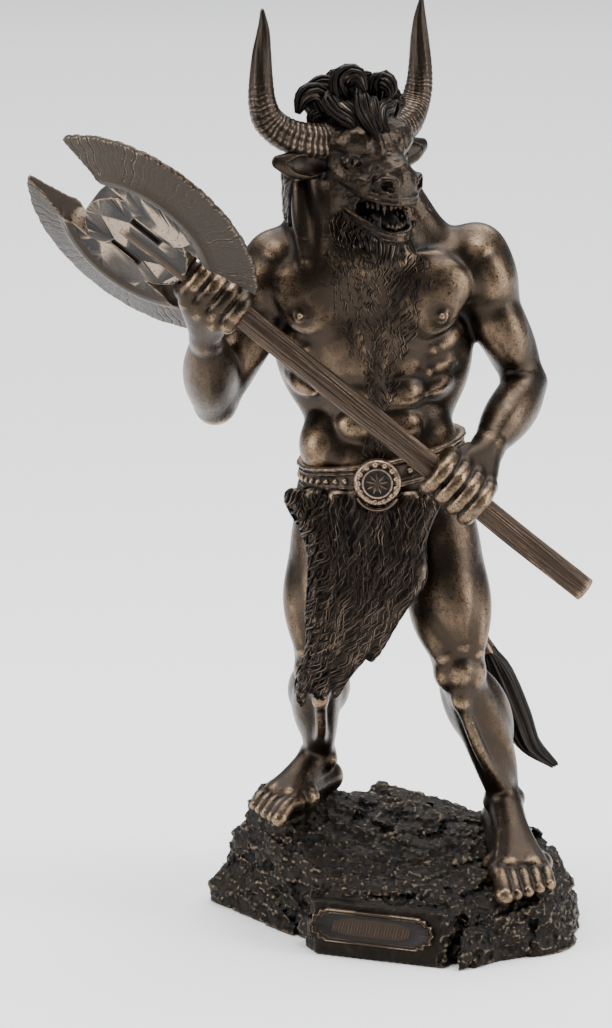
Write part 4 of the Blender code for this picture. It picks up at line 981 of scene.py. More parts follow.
hornShape = {"path": [(8, 0, 2.5), (16, -2, 1.6), (24.5, -5, 3.6), (30.5, -7.6, 8.4), (33, -8, 14.5),
                      (33.5, -8, 22), (33.2, -8, 30),
                      (32.8, -7.6, 37), (33.4, -7.4, 44)],
             "radii": (6, 5.8, 5.5, 5.1, 4.5, 3.8, 3, 2, 0.5), "rings": 26, "relief": 0.07}


def horn(side):
    points = [headPlace(a * side, b, c) for a, b, c in hornShape["path"]]
    count = 130
    path = curveThrough(points, count)
    radii = sizesAlong(hornShape["radii"], count)
    random = np.random.default_rng(11 + side)
    grooves = np.cumsum(random.uniform(0.7, 1.3, hornShape["rings"] + 1))
    grooves = grooves / grooves[-1] * 0.78

    def shape(share, angle):
        shifted = share + 0.006 * np.sin(2 * angle + 1) + 0.003 * np.sin(5 * angle)
        gap = np.abs(shifted[:, None] - grooves[None, :]).min(1)
        fade = 1 - smoothStep(0.45, 0.75, share)
        ring = np.clip(gap / 0.009, 0, 1) ** 0.7 - 1
        grain = 0.03 * np.sin(9 * angle + 2 * math.sin(8 * share)) * smoothStep(0.5, 0.8, share)
        fine = 0.008 * np.sin(40 * angle + 6 * math.sin(5 * share))
        return 1 + hornShape["relief"] * fade * ring + grain + fine

    piece = sweep("horn" + "RL"[side > 0], path, radii, 56, shape)
    finishPiece(piece, "figure", materials["bronzeHorn"], fine=2, broad=20)


hide = {"rows": [(vec(-32, -13, 134), vec(11, -15, 134)), (vec(-25, -17, 121), vec(8, -18, 121)),
                 (vec(-24, -20, 109), vec(6, -20, 109)), (vec(-25, -22, 98), vec(1, -21.5, 98)),
                 (vec(-25, -22.5, 86), vec(-7, -21.5, 86)), (vec(-29, -21.5, 75), vec(-13, -20.5, 77))],
        "folds": 12, "backLocks": 12, "strand": 0.58, "spacing": 1.3}


def hideClay():
    clay = Clay((-44, -32, 56), (34, 36, 142), 0.6)
    for number in range(hide["folds"]):
        share = number / (hide["folds"] - 1)
        sway = 1.2 * math.sin(2.4 * number)
        length = 6 if share < 0.85 else 5
        path = [a + (b - a) * share + vec(sway * (-1) ** i, -0.6 * (number % 2), 0)
                for i, (a, b) in enumerate(hide["rows"][:length])]
        path.append(path[-1] + vec(-1.5, 1, -5 - 3 * math.sin(1.7 * number)))
        rope(clay, path, (3, 3.1, 3.1, 2.8, 2.3, 0.8), 1.5)
    for number in range(hide["backLocks"]):
        share = number / (hide["backLocks"] - 1)
        top = vec(-24 + 42 * share, 22 - 6 * abs(share - 0.5), 132)
        path = [top, top + vec(0, 6, -7), top + vec(1, 7, -18),
                top + vec(-1, 4, -36 - 6 * math.sin(2 * number))]
        rope(clay, path, (3.2, 3.4, 3.4, 1), 1.5)
    return clay


def hideFlow(at):
    if at[1] > 6:
        return (0.1, 0.2, -1)
    return (-0.016 * max(134 - at[2], 0), 0, -1)


def makeHide():
    piece = fire("hide", hideClay(), 36000)
    skin, points, normals = skinOf(piece), readPoints(piece.data), readNormals(piece.data)
    outward = (normals[:, 1] * np.sign(points[:, 1] - 6) > -0.25) | (abs(normals[:, 0]) > 0.75)
    starts = scatter(points[outward & (points[:, 2] > 64)], (hide["spacing"], 14, 3.6), 3)
    strands = comb(skin, starts, hideFlow, 8, hide["strand"], sway=0.6, lift=(-0.15, 0.2), turns=1.1,
                   count=9, seed=5)
    border = np.interp(points[:, 2], [70, 86, 98, 121], [-22, -20, -20, -21])
    edge = (points[:, 1] < 0) & (points[:, 0] < border)
    tips = scatter(points[edge], (2.6, 6, 3.4), 8)
    strands += comb(skin, tips, lambda at: (-0.9, 0, -1), 8, hide["strand"] * 1.15, sway=0.7,
                    lift=(0.1, 1.3), count=9, seed=9)
    finishPiece(piece, "figure", materials["bronzeHair"])
    strandPiece("hideFur", strands, materials["bronzeHair"], "figure", flat=0.8)


def makeTail():
    random = np.random.default_rng(4)
    path = curveThrough([vec(-2, 18, 124), vec(6, 30, 112), vec(20, 30, 94), vec(29, 27, 78),
                         vec(35, 28, 66)], 60)
    radii = np.interp(np.linspace(0, 1, 60), [0, 0.3, 1], [4, 3, 2.6])
    piece = sweep("tail", path, radii, 28, lambda share, angle: 1 + 0.05 * np.sin(7 * angle + 9 * share))
    finishPiece(piece, "figure", materials["bronzeSkin"])
    strands = []
    for ring, (count, spread, size) in enumerate(((1, 0, 4.4), (6, 2.8, 2.4), (9, 4.2, 1.5))):
        for number in range(count):
            angle = 6.28 * number / count + ring
            out = vec(math.cos(angle), math.sin(angle), 0.4 * math.sin(angle))
            length = random.uniform(0.85, 1.05)
            points = [vec(31, 27.5, 74), vec(36, 27.5, 64) + spread * out,
                      vec(42, 27, 50) + 1.1 * spread * out,
                      vec(47, 27, 38) + 0.9 * spread * out,
                      vec(48 + 8 * length, 26, 32 - 2 * length) + 0.35 * spread * out]
            way = curveThrough(points, 18)
            facing = np.tile(out + 1e-3, (18, 1)) if ring else np.tile(vec(0, -1, 0), (18, 1))
            facing /= np.linalg.norm(facing, axis=1)[:, None]
            strands.append((way, facing, taper(18, size, 0.6, 0.2)))
    strandPiece("tailTuft", strands, materials["bronzeHair"], "figure", sides=8)


# Crown locks: their paths from the middle of the skull, and how thick they are
crown = [
    ([(-10, -3, 6), (-10.3, -4, 9), (-13.5, -5, 15.3), (-17.5, -6, 14.5), (-19.5, -7, 10)], 4.6),
    ([(-5, 3, 11), (-7.2, 2, 15.4), (-11.6, 1, 18.5), (-16.5, 0, 18)], 3.6),
    ([(-4, 5, 12), (-6.2, 5, 17), (-8, 4, 20.4), (-5.6, 3, 22)], 3.2),
    ([(-1.6, -3, 9), (-4.8, -5, 15), (-5, -6, 20.6), (-0.6, -8, 22.2), (2, -9, 17.5)], 4.4),
    ([(4, 2, 11), (3.6, 3, 16), (2.2, 2, 20), (4.4, 1, 21.6)], 3.4),
    ([(5, -1, 10), (5.6, -2, 16), (7.4, -4, 20.4), (10, -6, 18), (9.8, -7, 15)], 3.6),
    ([(6, 0, 8), (8, 0, 12), (10.8, -1, 15.6), (13.4, -2, 14.6)], 3.2),
    ([(-8, -5, 12), (-9.5, -8, 15), (-7.2, -10.6, 11.5), (-2.4, -13.4, 7.8), (-0.6, -14.8, 4.6)], 2.8),
    ([(0, -7, 13), (1, -10, 16), (1.6, -12.6, 11.8), (3.6, -15.6, 7.4), (6.3, -17.6, 2.4)], 2.7),
    ([(2.6, -6, 11), (4.2, -9, 14), (5, -12.8, 10), (7, -15, 5.5)], 2.4),
    ([(8, -3, 9), (10, -5, 12.5), (7.4, -9, 11.4), (7.6, -12.4, 7.5), (9.8, -13.6, 5)], 2.5),
    ([(-5, -6, 12), (-5.6, -9.6, 13), (-2, -12, 10), (1, -14, 5.5)], 2.6),
    ([(-9, -4, 8), (-14, -7, 9.5), (-15.5, -8.5, 5.5)], 2.4),
    ([(-12, 4, 6), (-15, 5, 12), (-19, 4, 11)], 3.4), ([(-8, 8, 8), (-11, 9, 15), (-15, 10, 15)], 3.6),
    ([(-2, 8, 11), (-2, 10, 18), (-4, 12, 21)], 3.8), ([(4, 8, 9), (6, 10, 16), (9, 11, 17)], 3.6),
    ([(9, 5, 6), (12, 6, 12), (15, 6, 11)], 3.2), ([(-6, 12, 5), (-8, 15, 10), (-11, 17, 8)], 3.8),
    ([(2, 12, 6), (3, 16, 11), (3, 19, 8)], 3.8), ([(8, 10, 3), (11, 13, 6), (14, 14, 2)], 3.2),
]


def hairLocks():
    at, strands = headPlace, []
    for number, (steps, thick) in enumerate(crown):
        steps = [pose["skull"] + vec(*step) for step in steps]
        strands += lock(steps, (0.7 * thick, thick, 0.85 * thick, 0.2 * thick), 9, 1.1, seed=number)
    for number in range(16):  # the beard under the lip
        side, drop = -8.2 + 1.09 * number, 6.4 + 2.6 * math.sin(0.2 * number) + 1.8 * (number % 2)
        back = 0.09 * side * side
        steps = [at(side, 17.2 - back, -27.4), at(side, 18.6 - back, -29.6),
                 at(0.8 * side, 17 - back, -28.6 - 0.6 * drop),
                 at(0.7 * side + math.sin(2 * number), 14 - back, -28.6 - drop)]
        strands += lock(steps, (1.1, 1.5, 1.2, 0.3), 4, 1.4, seed=40 + number)
    return strands


def makeHead():
    clay = Clay((-50, -36, 205), (32, 32, 277), 0.36)
    torso(clay)
    bullHead(clay)
    cuts, x, y, z = clay.block(*wholeBlock)
    clay.value += neckCut["sink"] * (1 - smoothStep(0, 2, aboveCut(x, y, z)))
    clay.join(cuts, aboveCut(x, y, z), 0.01, remove=True)
    piece = fire("head", clay, 142000)
    skin, points, normals = skinOf(piece), readPoints(piece.data), readNormals(piece.data)
    head = points - pose["skull"]
    turn = headAxes()
    side, ahead = head @ turn[0], head @ turn[1]
    mane = (ahead < -6 + 0.25 * head[:, 2]) & (head[:, 2] > -34) & (normals @ turn[1] < 0.2)
    starts = scatter(points[mane], (2.4, 2.4, 5), 2)
    strands = comb(skin, starts, lambda at: (0.02 * (at[0] + 12), 0.35, -1), 13, 1.2, sway=0.5,
                   lift=(0, 0.9), count=12, seed=3)
    jaw = (ahead > 0) & (ahead < 19) & (np.abs(side) < 13)
    jaw &= (head[:, 2] < -22 - 0.5 * (ahead - 8)) & (normals[:, 2] < 0.3)
    starts = scatter(points[jaw], 1.7, 6)
    strands += comb(skin, starts, lambda at: (0, 0.4, -1), 5.5, 0.6, sway=0.6, lift=(0, 0.9), count=8, seed=7)
    strands += hairLocks()

    # Painted shade inside the mouth, in a ring round the lids and in the pupils; the eyeball inside the lids
    # a little lighter; the neck and head darker further above the cut, from 1 to 10 mm up
    def faceShade(points):
        side, ahead, high = np.array(headAxes()) @ (points - pose["skull"]).T
        # painted shade inside the mouth
        inside = smoothStep(0, 1.5, 8.4 - np.abs(side)) * smoothStep(0, 2, 19.6 - ahead)
        inside *= smoothStep(0, 1, -17 - high)
        inside *= smoothStep(0, 1, high + 26 + 0.5 * (19 - ahead)) * (ahead > 2)
        wide, tall = 0.7 * (np.abs(side) - 11) - 0.71 * (ahead - 9.2), high + 4.3
        lid = np.hypot(wide / 2.4, tall / 1.8) + 9 * ((ahead < 5) | (np.abs(side) < 7))
        pupil = smoothStep(0.75, 0.5, np.abs(wide) + 0.2 * np.abs(tall))
        # painted shade in a ring where the lids meet the eye and in the pupil; the eyeball inside the lids a
        # little lighter
        rimOfEye = 0.35 * smoothStep(0.2, 0, np.abs(lid - 0.98))
        inside += rimOfEye + smoothStep(0.95, 0.8, lid) * (1.15 * pupil - 0.25)
        return inside + 0.22 * smoothStep(1, 10, aboveCut(*points.T)), seam(points)[1]

    def wrinkles(points, normals):
        ahead = (points - pose["skull"]) @ turn[1]
        skinLines = 0.1 * ripple(points, 2.6, 5, 3) - 0.14 * np.abs(ripple(points, 4.2, 6, 2))
        return skinLines * smoothStep(-2, 6, ahead)

    finishPiece(piece, "figure", materials["bronzeSkin"], wrinkles, shade=faceShade)
    strandPiece("mane", strands, materials["bronzeHair"], "figure", flat=0.9)
    for way in (-1, 1):
        horn(way)


# Where the head's clay takes over from the body's: a sloping cut. Both sink a little under the other there
neckCut = {"height": 223.5, "slope": 0.45, "overlap": 3.0, "sink": 0.25}


def aboveCut(x, y, z):
    return z - neckCut["height"] - neckCut["slope"] * y + 0 * x


def seam(points):
    return 0, smoothStep(1.5, 4, np.abs(aboveCut(*points.T) - neckCut["overlap"] / 2))


def makeBody():
    clay = Clay((-76, -54, 2), (66, 46, 240), 0.55)
    torso(clay)
    for name in "RL":
        leg(clay, name)
    arm(clay, "R", (-7.4, -2.2, 3, 8.2), -45, 185, -62)
    arm(clay, "L", (-9.5, -4.2, 1, 6), 110, -80, 125)
    along = grips()[0]
    cone(clay, pose["gripR"] - 15 * along, pose["gripL"] + 30 * along, axe["shaftRadius"],
         axe["shaftRadius"], 0.1, remove=True)
    cuts, x, y, z = clay.block(vec(-35, -999, 205), vec(14, 999, 999))
    above = aboveCut(x, y, z)
    clay.value[cuts] += neckCut["sink"] * smoothStep(1, 3, above)
    clay.join(cuts, neckCut["overlap"] - above, 0.01, remove=True)
    piece = fire("body", clay, 138000)
    skin, points, normals = skinOf(piece), readPoints(piece.data), readNormals(piece.data)
    x, y, z = points.T
    width = np.interp(z, [146, 156, 164, 174, 190, 205, 226], [4.5, 3, 3, 5, 11, 15, 14])
    middle = np.interp(z, [150, 175, 200], [-8, -3.5, -6])
    ragged = 1 + 0.18 * np.sin(1.9 * z) + 0.1 * np.sin(0.8 * z)
    chestFur = (np.abs(x - middle) < width * ragged) & (y < -6) & (normals[:, 1] < -0.15) & (z > 147)
    starts = scatter(points[chestFur], (1.25, 99, 3.0), 2)
    strands = comb(skin, starts, lambda at: (-0.03 * (at[0] + 5), 0, -1), 4.6, 0.46, sway=0.75,
                   lift=(-0.1, 0.2), turns=0.8, count=8, seed=3)
    nape = (y > 8) & (z > 210) & (np.abs(x + 12) < 15)
    starts = scatter(points[nape], (2.4, 2.4, 5), 4)
    strands += comb(skin, starts, lambda at: (0.03 * (at[0] + 10), 0.2, -1), 12, 1.1, sway=0.5,
                    lift=(-0.1, 0.8), count=12, seed=8)
    finishPiece(piece, "figure", materials["bronzeSkin"], shade=seam)
    strandPiece("bodyFur", strands, materials["bronzeHair"], "figure")


belt = {"radii": (25.5, 18.5), "height": 10.0, "middle": vec(-4, 3, 143), "slope": (0.2, 0.07), "studs": 46,
        "studRadius": 1.05, "buckle": 6.8, "beads": 13}


def beltPoint(angle, out, level):
    wide, deep = belt["radii"]
    a, b = math.cos(angle), math.sin(angle)
    facing = unit(vec(a / wide, b / deep, 0))
    x, y = a * wide, b * deep
    z = belt["slope"][0] * x + belt["slope"][1] * y + level
    return belt["middle"] + vec(x, y, z) + out * facing, facing


def makeBelt():
    half = belt["height"] / 2
    profile = [(-1.5, -half), (1.2, -half), (2.1, -half + 0.4), (2.3, -half + 1), (2.1, -half + 1.6),
               (1.3, -half + 1.9),
               (1.2, -half + 2.3), (1.7, -half + 2.5), (1.7, -half + 2.9), (1.2, -half + 3.1)]
    profile += [(0.95, 0)] + [(out, -level) for out, level in reversed(profile)]
    count, points, faces = 200, [], []
    for n in range(count):
        angle = 2 * math.pi * n / count
        for out, level in profile:
            dent = 0.12 * math.sin(23 * angle + level) + 0.08 * math.sin(51 * angle)
            points.append(beltPoint(angle, out + dent * (out > 0), level)[0])
    size = len(profile)
    for n in range(count):
        a, b = n * size, (n + 1) % count * size
        faces += [(a + k, b + k, b + (k + 1) % size, a + (k + 1) % size) for k in range(size)]
    piece = makePiece("beltBand", points, faces)
    finer = piece.modifiers.new("finer", "SUBSURF")
    finer.levels = finer.render_levels = 1
    applyModifiers(piece)
    finishPiece(piece, "figure", materials["bronzePlate"], broad=8)
    spots = [beltPoint(2 * math.pi * n / belt["studs"], 1.2, 0) for n in range(belt["studs"])]
    spots = [s for s in spots if abs(s[0][0] + 6) > 7.5 or s[0][1] > 0]
    studPiece("beltStuds", *zip(*spots), belt["studRadius"], 1.0, materials["bronzePlate"], "figure")
    makeBuckle()


def makeBuckle():
    middle, facing = beltPoint(-math.pi / 2 - 0.06, 3.2, -1.5)
    right = unit(np.cross(facing, up))
    rise = np.cross(right, facing)
    size, sides, strands = belt["buckle"], 40, []

    def circle(radius, out, first=0.0, last=2 * math.pi, count=sides, centre=middle):
        angle = np.linspace(first, last, count)[:, None]
        return centre + out * facing + radius * (np.cos(angle) * right + np.sin(angle) * rise)

    disc = [circle(r, o, last=2 * math.pi * (sides - 1) / sides)
            for r, o in ((size * 1.12, -3), (size * 1.12, 0.2), (size * 1.0, 0.7), (size * 0.78, 0.5),
                         (size * 0.7, 1.1), (size * 0.6, 0.6), (size * 0.3, 0.8), (0.3, 0.9))]
    points = np.vstack(disc + [[middle + 0.9 * facing]])
    piece = makePiece("buckle", points, dishFaces(len(disc), sides))
    faceOutwards(piece)
    finishPiece(piece, "figure", materials["bronzePlate"], broad=6)
    beads = circle(size * 0.92, 0.9, last=2 * math.pi * (belt["beads"] - 1) / belt["beads"],
                   count=belt["beads"])
    studPiece("buckleBeads", beads, [facing] * len(beads), 1.0, 0.9, materials["bronzePlate"], "figure")
    for ray in range(9):  # a rosette of short rays
        angle = 2 * math.pi * (ray + 0.25) / 9
        out = math.cos(angle) * right + math.sin(angle) * rise
        path = middle + 0.8 * facing + np.linspace(1.0, 3.6, 6)[:, None] * out
        strands.append((path, np.tile(facing, (6, 1)), taper(6, 0.62, 0.4, 0.4)))
    lowerArc = circle(size * 1.05, 0.9, math.pi * 1.15, math.pi * 1.85, 30, middle - 1.6 * rise)
    strands.append((lowerArc, np.tile(facing, (30, 1)), np.full(30, 0.7)))
    strandPiece("buckleLines", strands, materials["bronzePlate"], "figure")


# Everything that the axe's head is drawn from: along the shaft, across it, and out of its faces
def axeFrame():
    along, front, rise = grips()
    top = pose["gripR"] - axe["reach"] * along
    turn = math.radians(axe["turn"])
    across = math.cos(turn) * rise + math.sin(turn) * front
    normal = math.cos(turn) * front - math.sin(turn) * rise
    return top, along, across, normal


def makeAxeHead():
    top, along, across, normal = axeFrame()
    reach, half = axe["blade"] + 2, axe["thickness"] / 2
    clay = Clay((-reach, -reach, -half - 2), (reach, reach, half + 2), 0.42)
    cuts, a, c, n = clay.block(*wholeBlock)
    radius = np.sqrt(a * a + c * c) + 0 * n
    angle = np.arctan2(c, a)
    edge = axe["blade"] - 0.4 * np.abs(np.sin(13 * angle)) ** 6 - 0.3 * np.abs(np.sin(31 * angle + 1)) ** 8
    bevel = axe["bevel"]
    thick = np.interp(radius, [bevel - 4, bevel - 2.6, bevel - 0.8, bevel, bevel + 1.5, axe["blade"]],
                      [half - 0.9, half, half, half - 0.5, half - 1.1, axe["edge"] / 2])
    blade = np.maximum((np.abs(n) - thick) * 0.9, radius - edge)
    bay = np.maximum(np.abs(c) + 0 * radius - axe["notch"] / 2, axe["body"] - radius)
    clay.value[:] = np.maximum(blade, -bay)
    length, width, depth = axe["slots"]
    for way in (-1, 1):
        for face in (-1, 1):
            hole = np.maximum(np.abs(a) - length / 2, np.abs(c - way * axe["slotSpacing"] / 2) - width / 2)
            hole = np.maximum(hole + 0 * n, half - face * n - depth - 0.9)
            clay.join(cuts, hole, 0.5, remove=True)
    piece = fire("axeHead", clay, 90000)
    cracks = np.random.default_rng(12).uniform(-1, 1, (16, 3))

    def relief(points, normals):
        a, c = points.T[:2]
        radius, angle = np.hypot(a, c), np.arctan2(c, a)
        onBevel = smoothStep(bevel - 0.5, bevel + 1, radius) * (np.abs(normals[:, 2]) > 0.5)
        onPlate = (1 - smoothStep(bevel - 4.5, bevel - 3.5, radius)) * (np.abs(normals[:, 2]) > 0.8)
        bend = angle + 0.012 * np.sin(0.9 * radius + 5 * angle)
        nicks = np.sin(211 * bend) + 0.8 * np.sin(137 * bend + 1) + 0.7 * np.sin(61 * bend + 2)
        deeper = smoothStep(1.7, 2.3, nicks) * (0.4 + 0.6 * np.sin(0.8 * radius + 9 * angle) ** 2)
        carve = -onBevel * (0.1 * np.clip(nicks, 0, 1.2) + 0.4 * deeper)
        hammered = ripple(points, 5, 3, 3)
        carve += onPlate * (0.35 * np.clip(hammered, -1, 0.35) - 0.12 * np.abs(ripple(points, 1.6, 5, 2)))
        for u, v, w in cracks:  # engraved lines on the plates
            start, way = np.array([u, v]) * bevel * 0.8, np.array([math.cos(3.1 * w), math.sin(3.1 * w)])
            t = np.clip((points[:, :2] - start) @ way, 0, 11)
            wiggle = 0.5 * np.sin(2 * t + w)[:, None] * np.array([-way[1], way[0]])
            away = np.linalg.norm(points[:, :2] - start - t[:, None] * way - wiggle, axis=1)
            carve -= 0.45 * onPlate * np.clip(1 - away / 0.45, 0, 1)
        return carve

    place = Matrix([[*row, 0] for row in zip(along, across, normal)] + [[0, 0, 0, 1]])
    place.translation = Vector(top)
    finishPiece(piece, "axe", materials["bronzeAxe"], relief, place, fine=2, broad=18)


def makeShaft():
    top, along = axeFrame()[:2]
    count, sides = 210, 90
    path = [top + (axe["shaftLength"] * t - 6 * (1 - t)) * along for t in np.linspace(0, 1, count)]
    random = np.random.default_rng(6)
    lanes = np.arange(38) * 6.28 / 38 + random.uniform(-0.06, 0.06, 38)
    waves = random.uniform(0.6, 1.8, (38, 2))

    def shape(share, angle):
        depth = np.zeros(len(angle))
        for lane, (fast, deep) in zip(lanes, waves):
            middle = lane + 0.1 * math.sin(11 * fast * share + 3 * lane)
            away = np.abs((angle - middle + math.pi) % (2 * math.pi) - math.pi)
            strength = max(0, 0.25 + math.sin(12 * fast * share + 5 * lane)) ** 0.5
            depth = np.maximum(depth, deep * strength * np.clip(1 - away / 0.075, 0, 1))
        hewn = 0.03 * np.sin(3 * angle + 14 * share) + 0.02 * np.sin(5 * angle - 23 * share)
        return 0.97 - 0.1 * depth + hewn

    piece = sweep("shaft", path, np.full(count, axe["shaftRadius"]), sides, shape)
    finishPiece(piece, "axe", materials["bronzeWood"], fine=2, broad=14)


rock = {"width": 131.0, "depth": 105.0, "shift": 1.5, "front": 0.79, "stone": 15.0, "crack": 0.7, "chip": 1.3,
        "lean": 0.07, "corners": 2.2, "cutAway": (-0.503, -0.864, 37.5), "block": (8.5, 27.0, 40.6),
        "mound": (-36, 5, 26, 26, 12), "shoulder": (-52, 2.2, 18.7, 0.55),
        "slab": (0.8, 0.6, 53.6, 33, 61, 15.4),
        "blockTop": 17.5, "shade": (0.12, 0.52)}


def frontAxes():
    turn = math.radians(view["frontTurn"])
    return vec(math.cos(turn), -math.sin(turn), 0), vec(-math.sin(turn), -math.cos(turn), 0)


# Uneven stones: how near each point is to a crack, and how far its own stone stands out
def stones(points, size, seed):
    low, high = -vec(rock["width"], rock["depth"], 0) / 2, vec(rock["width"] / 2, rock["depth"] / 2, rim + 20)
    count = int(1.2 * np.prod(high - low) / size**3)
    seeds = low + (high - low) * np.random.default_rng(seed).uniform(0, 1, (count, 3))
    outs = np.random.default_rng(seed + 1).uniform(-1, 1, count)
    leans = np.random.default_rng(seed + 2).uniform(-1, 1, (count, 3))
    nearest, second, push = np.full(len(points), 999.0), np.full(len(points), 999.0), np.zeros(len(points))
    for middle, out, lean in zip(seeds, outs, leans):
        offset = points - middle
        away = np.sqrt(offset**2 @ vec(1, 1, 2.2))
        nearer = away < nearest
        second = np.where(nearer, nearest, np.minimum(second, away))
        nearest = np.where(nearer, away, nearest)
        push = np.where(nearer, out + np.clip(rock["lean"] * offset @ lean, -1, 1), push)
    return second - nearest, push


def makeRock():
    wide, deep = rock["width"] / 2, rock["depth"] / 2
    clay = Clay((-wide - 3, -deep - 3, -1.5), (wide + 3, deep + 3, rim + 36), 0.75)
    x, y, z = clay.block(*wholeBlock)[1:]
    right, ahead = frontAxes()
    along, depth = x * right[0] + y * right[1] - rock["shift"], -x * ahead[0] - y * ahead[1]
    far = np.where(depth > 0, deep, deep * rock["front"])
    angle = np.arctan2(depth / deep, along / wide)
    wave = 0.012 * np.sin(3 * angle + 1) + 0.01 * np.sin(7 * angle) + 0.01 * np.sin(11 * angle + 2)
    power = rock["corners"]
    radius = (np.abs(along / wide) ** power + np.abs(depth / far) ** power) ** (1 / power)
    a, b, reach = rock["cutAway"]
    side = np.maximum((radius - 0.97 + wave) * deep, a * along + b * depth - reach) + 0.12 * z
    edge = 1 - smoothStep(0.72, 1.0, radius)
    u, v, long, broad, height = rock["mound"]
    hill = np.exp(-(((x - u) / long) ** 2) - ((y - v) / broad) ** 2)
    mound = np.clip(6 + 0.22 * (y + 32), 1, 17) + height * hill
    mound = mound - 0.2 * np.maximum(x - 8, 0) * smoothStep(0, 25, y)
    shoulder, steep, high, back = rock["shoulder"]
    top = z - rim - np.minimum(edge * mound, high + steep * (x - shoulder) - back * y)
    h = np.maximum(3 - np.abs(side - top), 0) / 3
    body = np.maximum(side, top) + 0.75 * h * h
    a, b, reach, start, end, high = rock["slab"]
    face = a * along - b * depth - reach
    ends = np.maximum(np.maximum(start - along, along - end), depth + 4)
    body = np.minimum(body, np.maximum(np.maximum(face, z - high + 0.25 * face), ends))
    middle, half, face = rock["block"]  # the block that carries the plate
    along = along + rock["shift"]
    front = -depth - face + plate["lean"] * (z - plate["centre"])
    flank = 0.75 * np.abs(along - middle) - 0.66 * (depth + face) - 0.75 * half + 3
    limits = np.maximum(np.abs(along - middle) - half, z - rock["blockTop"] - 0.2 * (depth + face))
    block = np.maximum(np.maximum(front, flank), limits)
    body = np.minimum(body, np.maximum(block, depth + 20))
    near = np.abs(body) < 4
    spots = np.stack([(x + 0 * body)[near], (y + 0 * body)[near], (z + 0 * body)[near]], 1).astype(float)
    gap, push = stones(spots, rock["stone"], 7)
    onBlock = (spots @ ahead > face - 5) & (np.abs(spots @ right - middle) < half - 4)
    body[near] += np.where(onBlock, 0, rock["crack"] * np.clip(1.6 - gap, 0, 1.6) - rock["chip"] * push)
    clay.value[:] = np.maximum(body, -z)
    piece = fire("rock", clay, 112000)

    def relief(points, normals):
        warp = np.stack([ripple(points, 8, n, 3) for n in (31, 32, 33)], 1)
        gap, push = stones(points + 3 * warp, 7.0, 19)
        level = 2.4 * ripple(points * vec(1, 1, 1.6), 18, 8, 4)  # ledges that follow a noise's contours
        ledge = np.floor(level) + smoothStep(0.72, 1, level % 1)
        aside = np.abs(points @ right - plate["shift"])
        onPlate = (points @ ahead > face - 4) & (aside < plate["length"] / 2 + 1.5)
        rough = 0.2 * ripple(points, 5, 12, 3) - 0.2 * np.abs(ripple(points, 2.6, 9, 3))
        carve = 0.8 * ledge + 0.45 * push - 0.35 * np.clip(1.2 - gap, 0, 1.2) + rough
        return carve * smoothStep(0.3, 2.5, points[:, 2]) * np.where(onPlate, 0.2, 1)

    finishPiece(piece, "base", materials["bronzeRock"], relief, fine=2, broad=18,
                shade=lambda points: rock["shade"])


def plateOutline(length, height, notch):
    half, rise = length / 2, height / 2
    end = half - notch
    ends = [(end - 1, rise), (end, rise - 0.5), (end + 0.3 * notch, rise - 0.7),
            (end + 0.45 * notch, rise * 0.6),
            (end + 0.8 * notch, rise * 0.55), (end + 0.85 * notch, rise * 0.2), (half, 0)]
    right = ends + [(x, -y) for x, y in reversed(ends[:-1])]
    left = [(-x, -y) for x, y in right]
    return right + left


plate = {"length": 42.5, "height": 11.0, "shift": 5.7, "back": 40.0, "centre": 10.3,
         "notch": 4.7, "lean": 0.16, "strokes": 26, "row": 25.6}


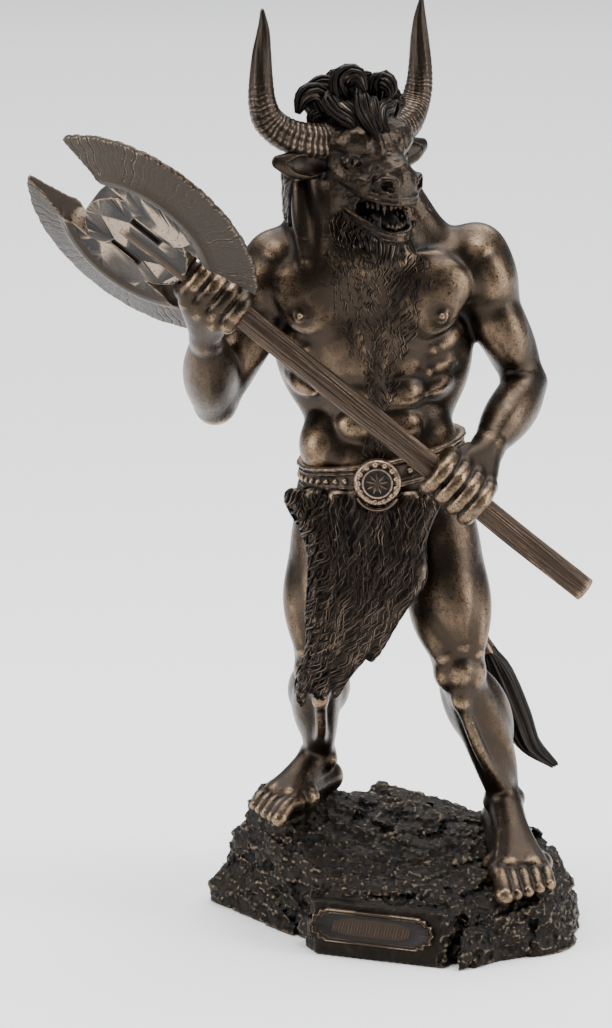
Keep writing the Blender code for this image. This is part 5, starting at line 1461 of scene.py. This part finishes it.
def makeNameplate():
    right, ahead = frontAxes()
    middle = plate["shift"] * right + plate["back"] * ahead + plate["centre"] * up
    rise = unit(up - plate["lean"] * ahead)
    outward = unit(ahead + plate["lean"] * up)
    rings, size = [], (plate["length"], plate["height"])
    for shrink, out in ((0, -1.0), (0, 1.3), (0.3, 2.1), (0.8, 2.2), (1.1, 1.6), (1.5, 1.5), (1.7, 1.8),
                        (1.9, 1.8), (2.1, 1.4)):
        outline = plateOutline(size[0] - 1.6 * shrink, size[1] - 1.6 * shrink, plate["notch"])
        rings.append([middle + x * right + y * rise + out * outward for x, y in outline])
    points = np.vstack(rings + [[middle + 1.4 * outward]])
    piece = makePiece("nameplate", points, dishFaces(len(rings), len(rings[0])))
    faceOutwards(piece, 2)
    finishPiece(piece, "base", materials["bronzePlate"], broad=6)
    strands = []
    for n in range(plate["strokes"]):  # shallow strokes that spell nothing
        x = -plate["row"] / 2 + plate["row"] * n / (plate["strokes"] - 1)
        tall = 1.8 - 0.5 * (n % 3 == 1)
        path = [middle + (x + 0.35 * t) * right + (tall * t - 0.2) * rise + 1.35 * outward
                for t in np.linspace(-1, 1, 5)]
        strands.append((np.array(path), np.tile(outward, (5, 1)), taper(5, 0.34, 0.7, 0.5)))
    strandPiece("plateStrokes", strands, materials["bronzePlate"], "base")


studioLook = {"floor": (0.96, 0.96, 0.96, 1), "world": (0.92, 0.95, 1, 1), "strength": 0.32,
              "aim": (0, 0, 0.17),
              "lights": {"leftBox": ((-0.85, -0.3, 0.45), (0.3, 0.8), 9),
                         "rightBox": ((0.85, -0.25, 0.4), (0.3, 0.8), 9),
                         "topBox": ((0.05, -0.1, 1.1), (0.6, 0.5), 7), "sky": ((0, 1.0, 3.2), (5, 5), 260)}}


def studio():
    floor = makePiece("floor", [(-4, -4, 0), (4, -4, 0), (4, 4, 0), (-4, 4, 0)], [(0, 1, 2, 3)])
    paper = bpy.data.materials.new("paper")
    paper.use_nodes = True
    shader = paper.node_tree.nodes["Principled BSDF"]
    shader.inputs["Base Color"].default_value = studioLook["floor"]
    shader.inputs["Roughness"].default_value = 0.9
    floor.data.materials.append(paper)
    world = bpy.data.worlds.new("studio")
    world.use_nodes = True
    sky = world.node_tree.nodes["Background"]
    sky.inputs["Color"].default_value = studioLook["world"]
    sky.inputs["Strength"].default_value = studioLook["strength"]
    bpy.context.scene.world = world
    turn = Matrix.Rotation(math.radians(view["frontTurn"]), 4, "Z")
    for name, (place, size, power) in studioLook["lights"].items():
        data = bpy.data.lights.new(name, "AREA")
        data.shape, data.energy = "RECTANGLE", power
        data.size, data.size_y = size
        light = linkObject(name, data)
        place = turn @ Vector(place)
        aim = (Vector(studioLook["aim"]) - place).to_track_quat("-Z", "Y")
        light.matrix_world = Matrix.Translation(place) @ aim.to_matrix().to_4x4()


studio()
makeRock()
makeNameplate()
makeShaft()
makeAxeHead()
makeBody()
makeHead()
makeHide()
makeTail()
makeBelt()
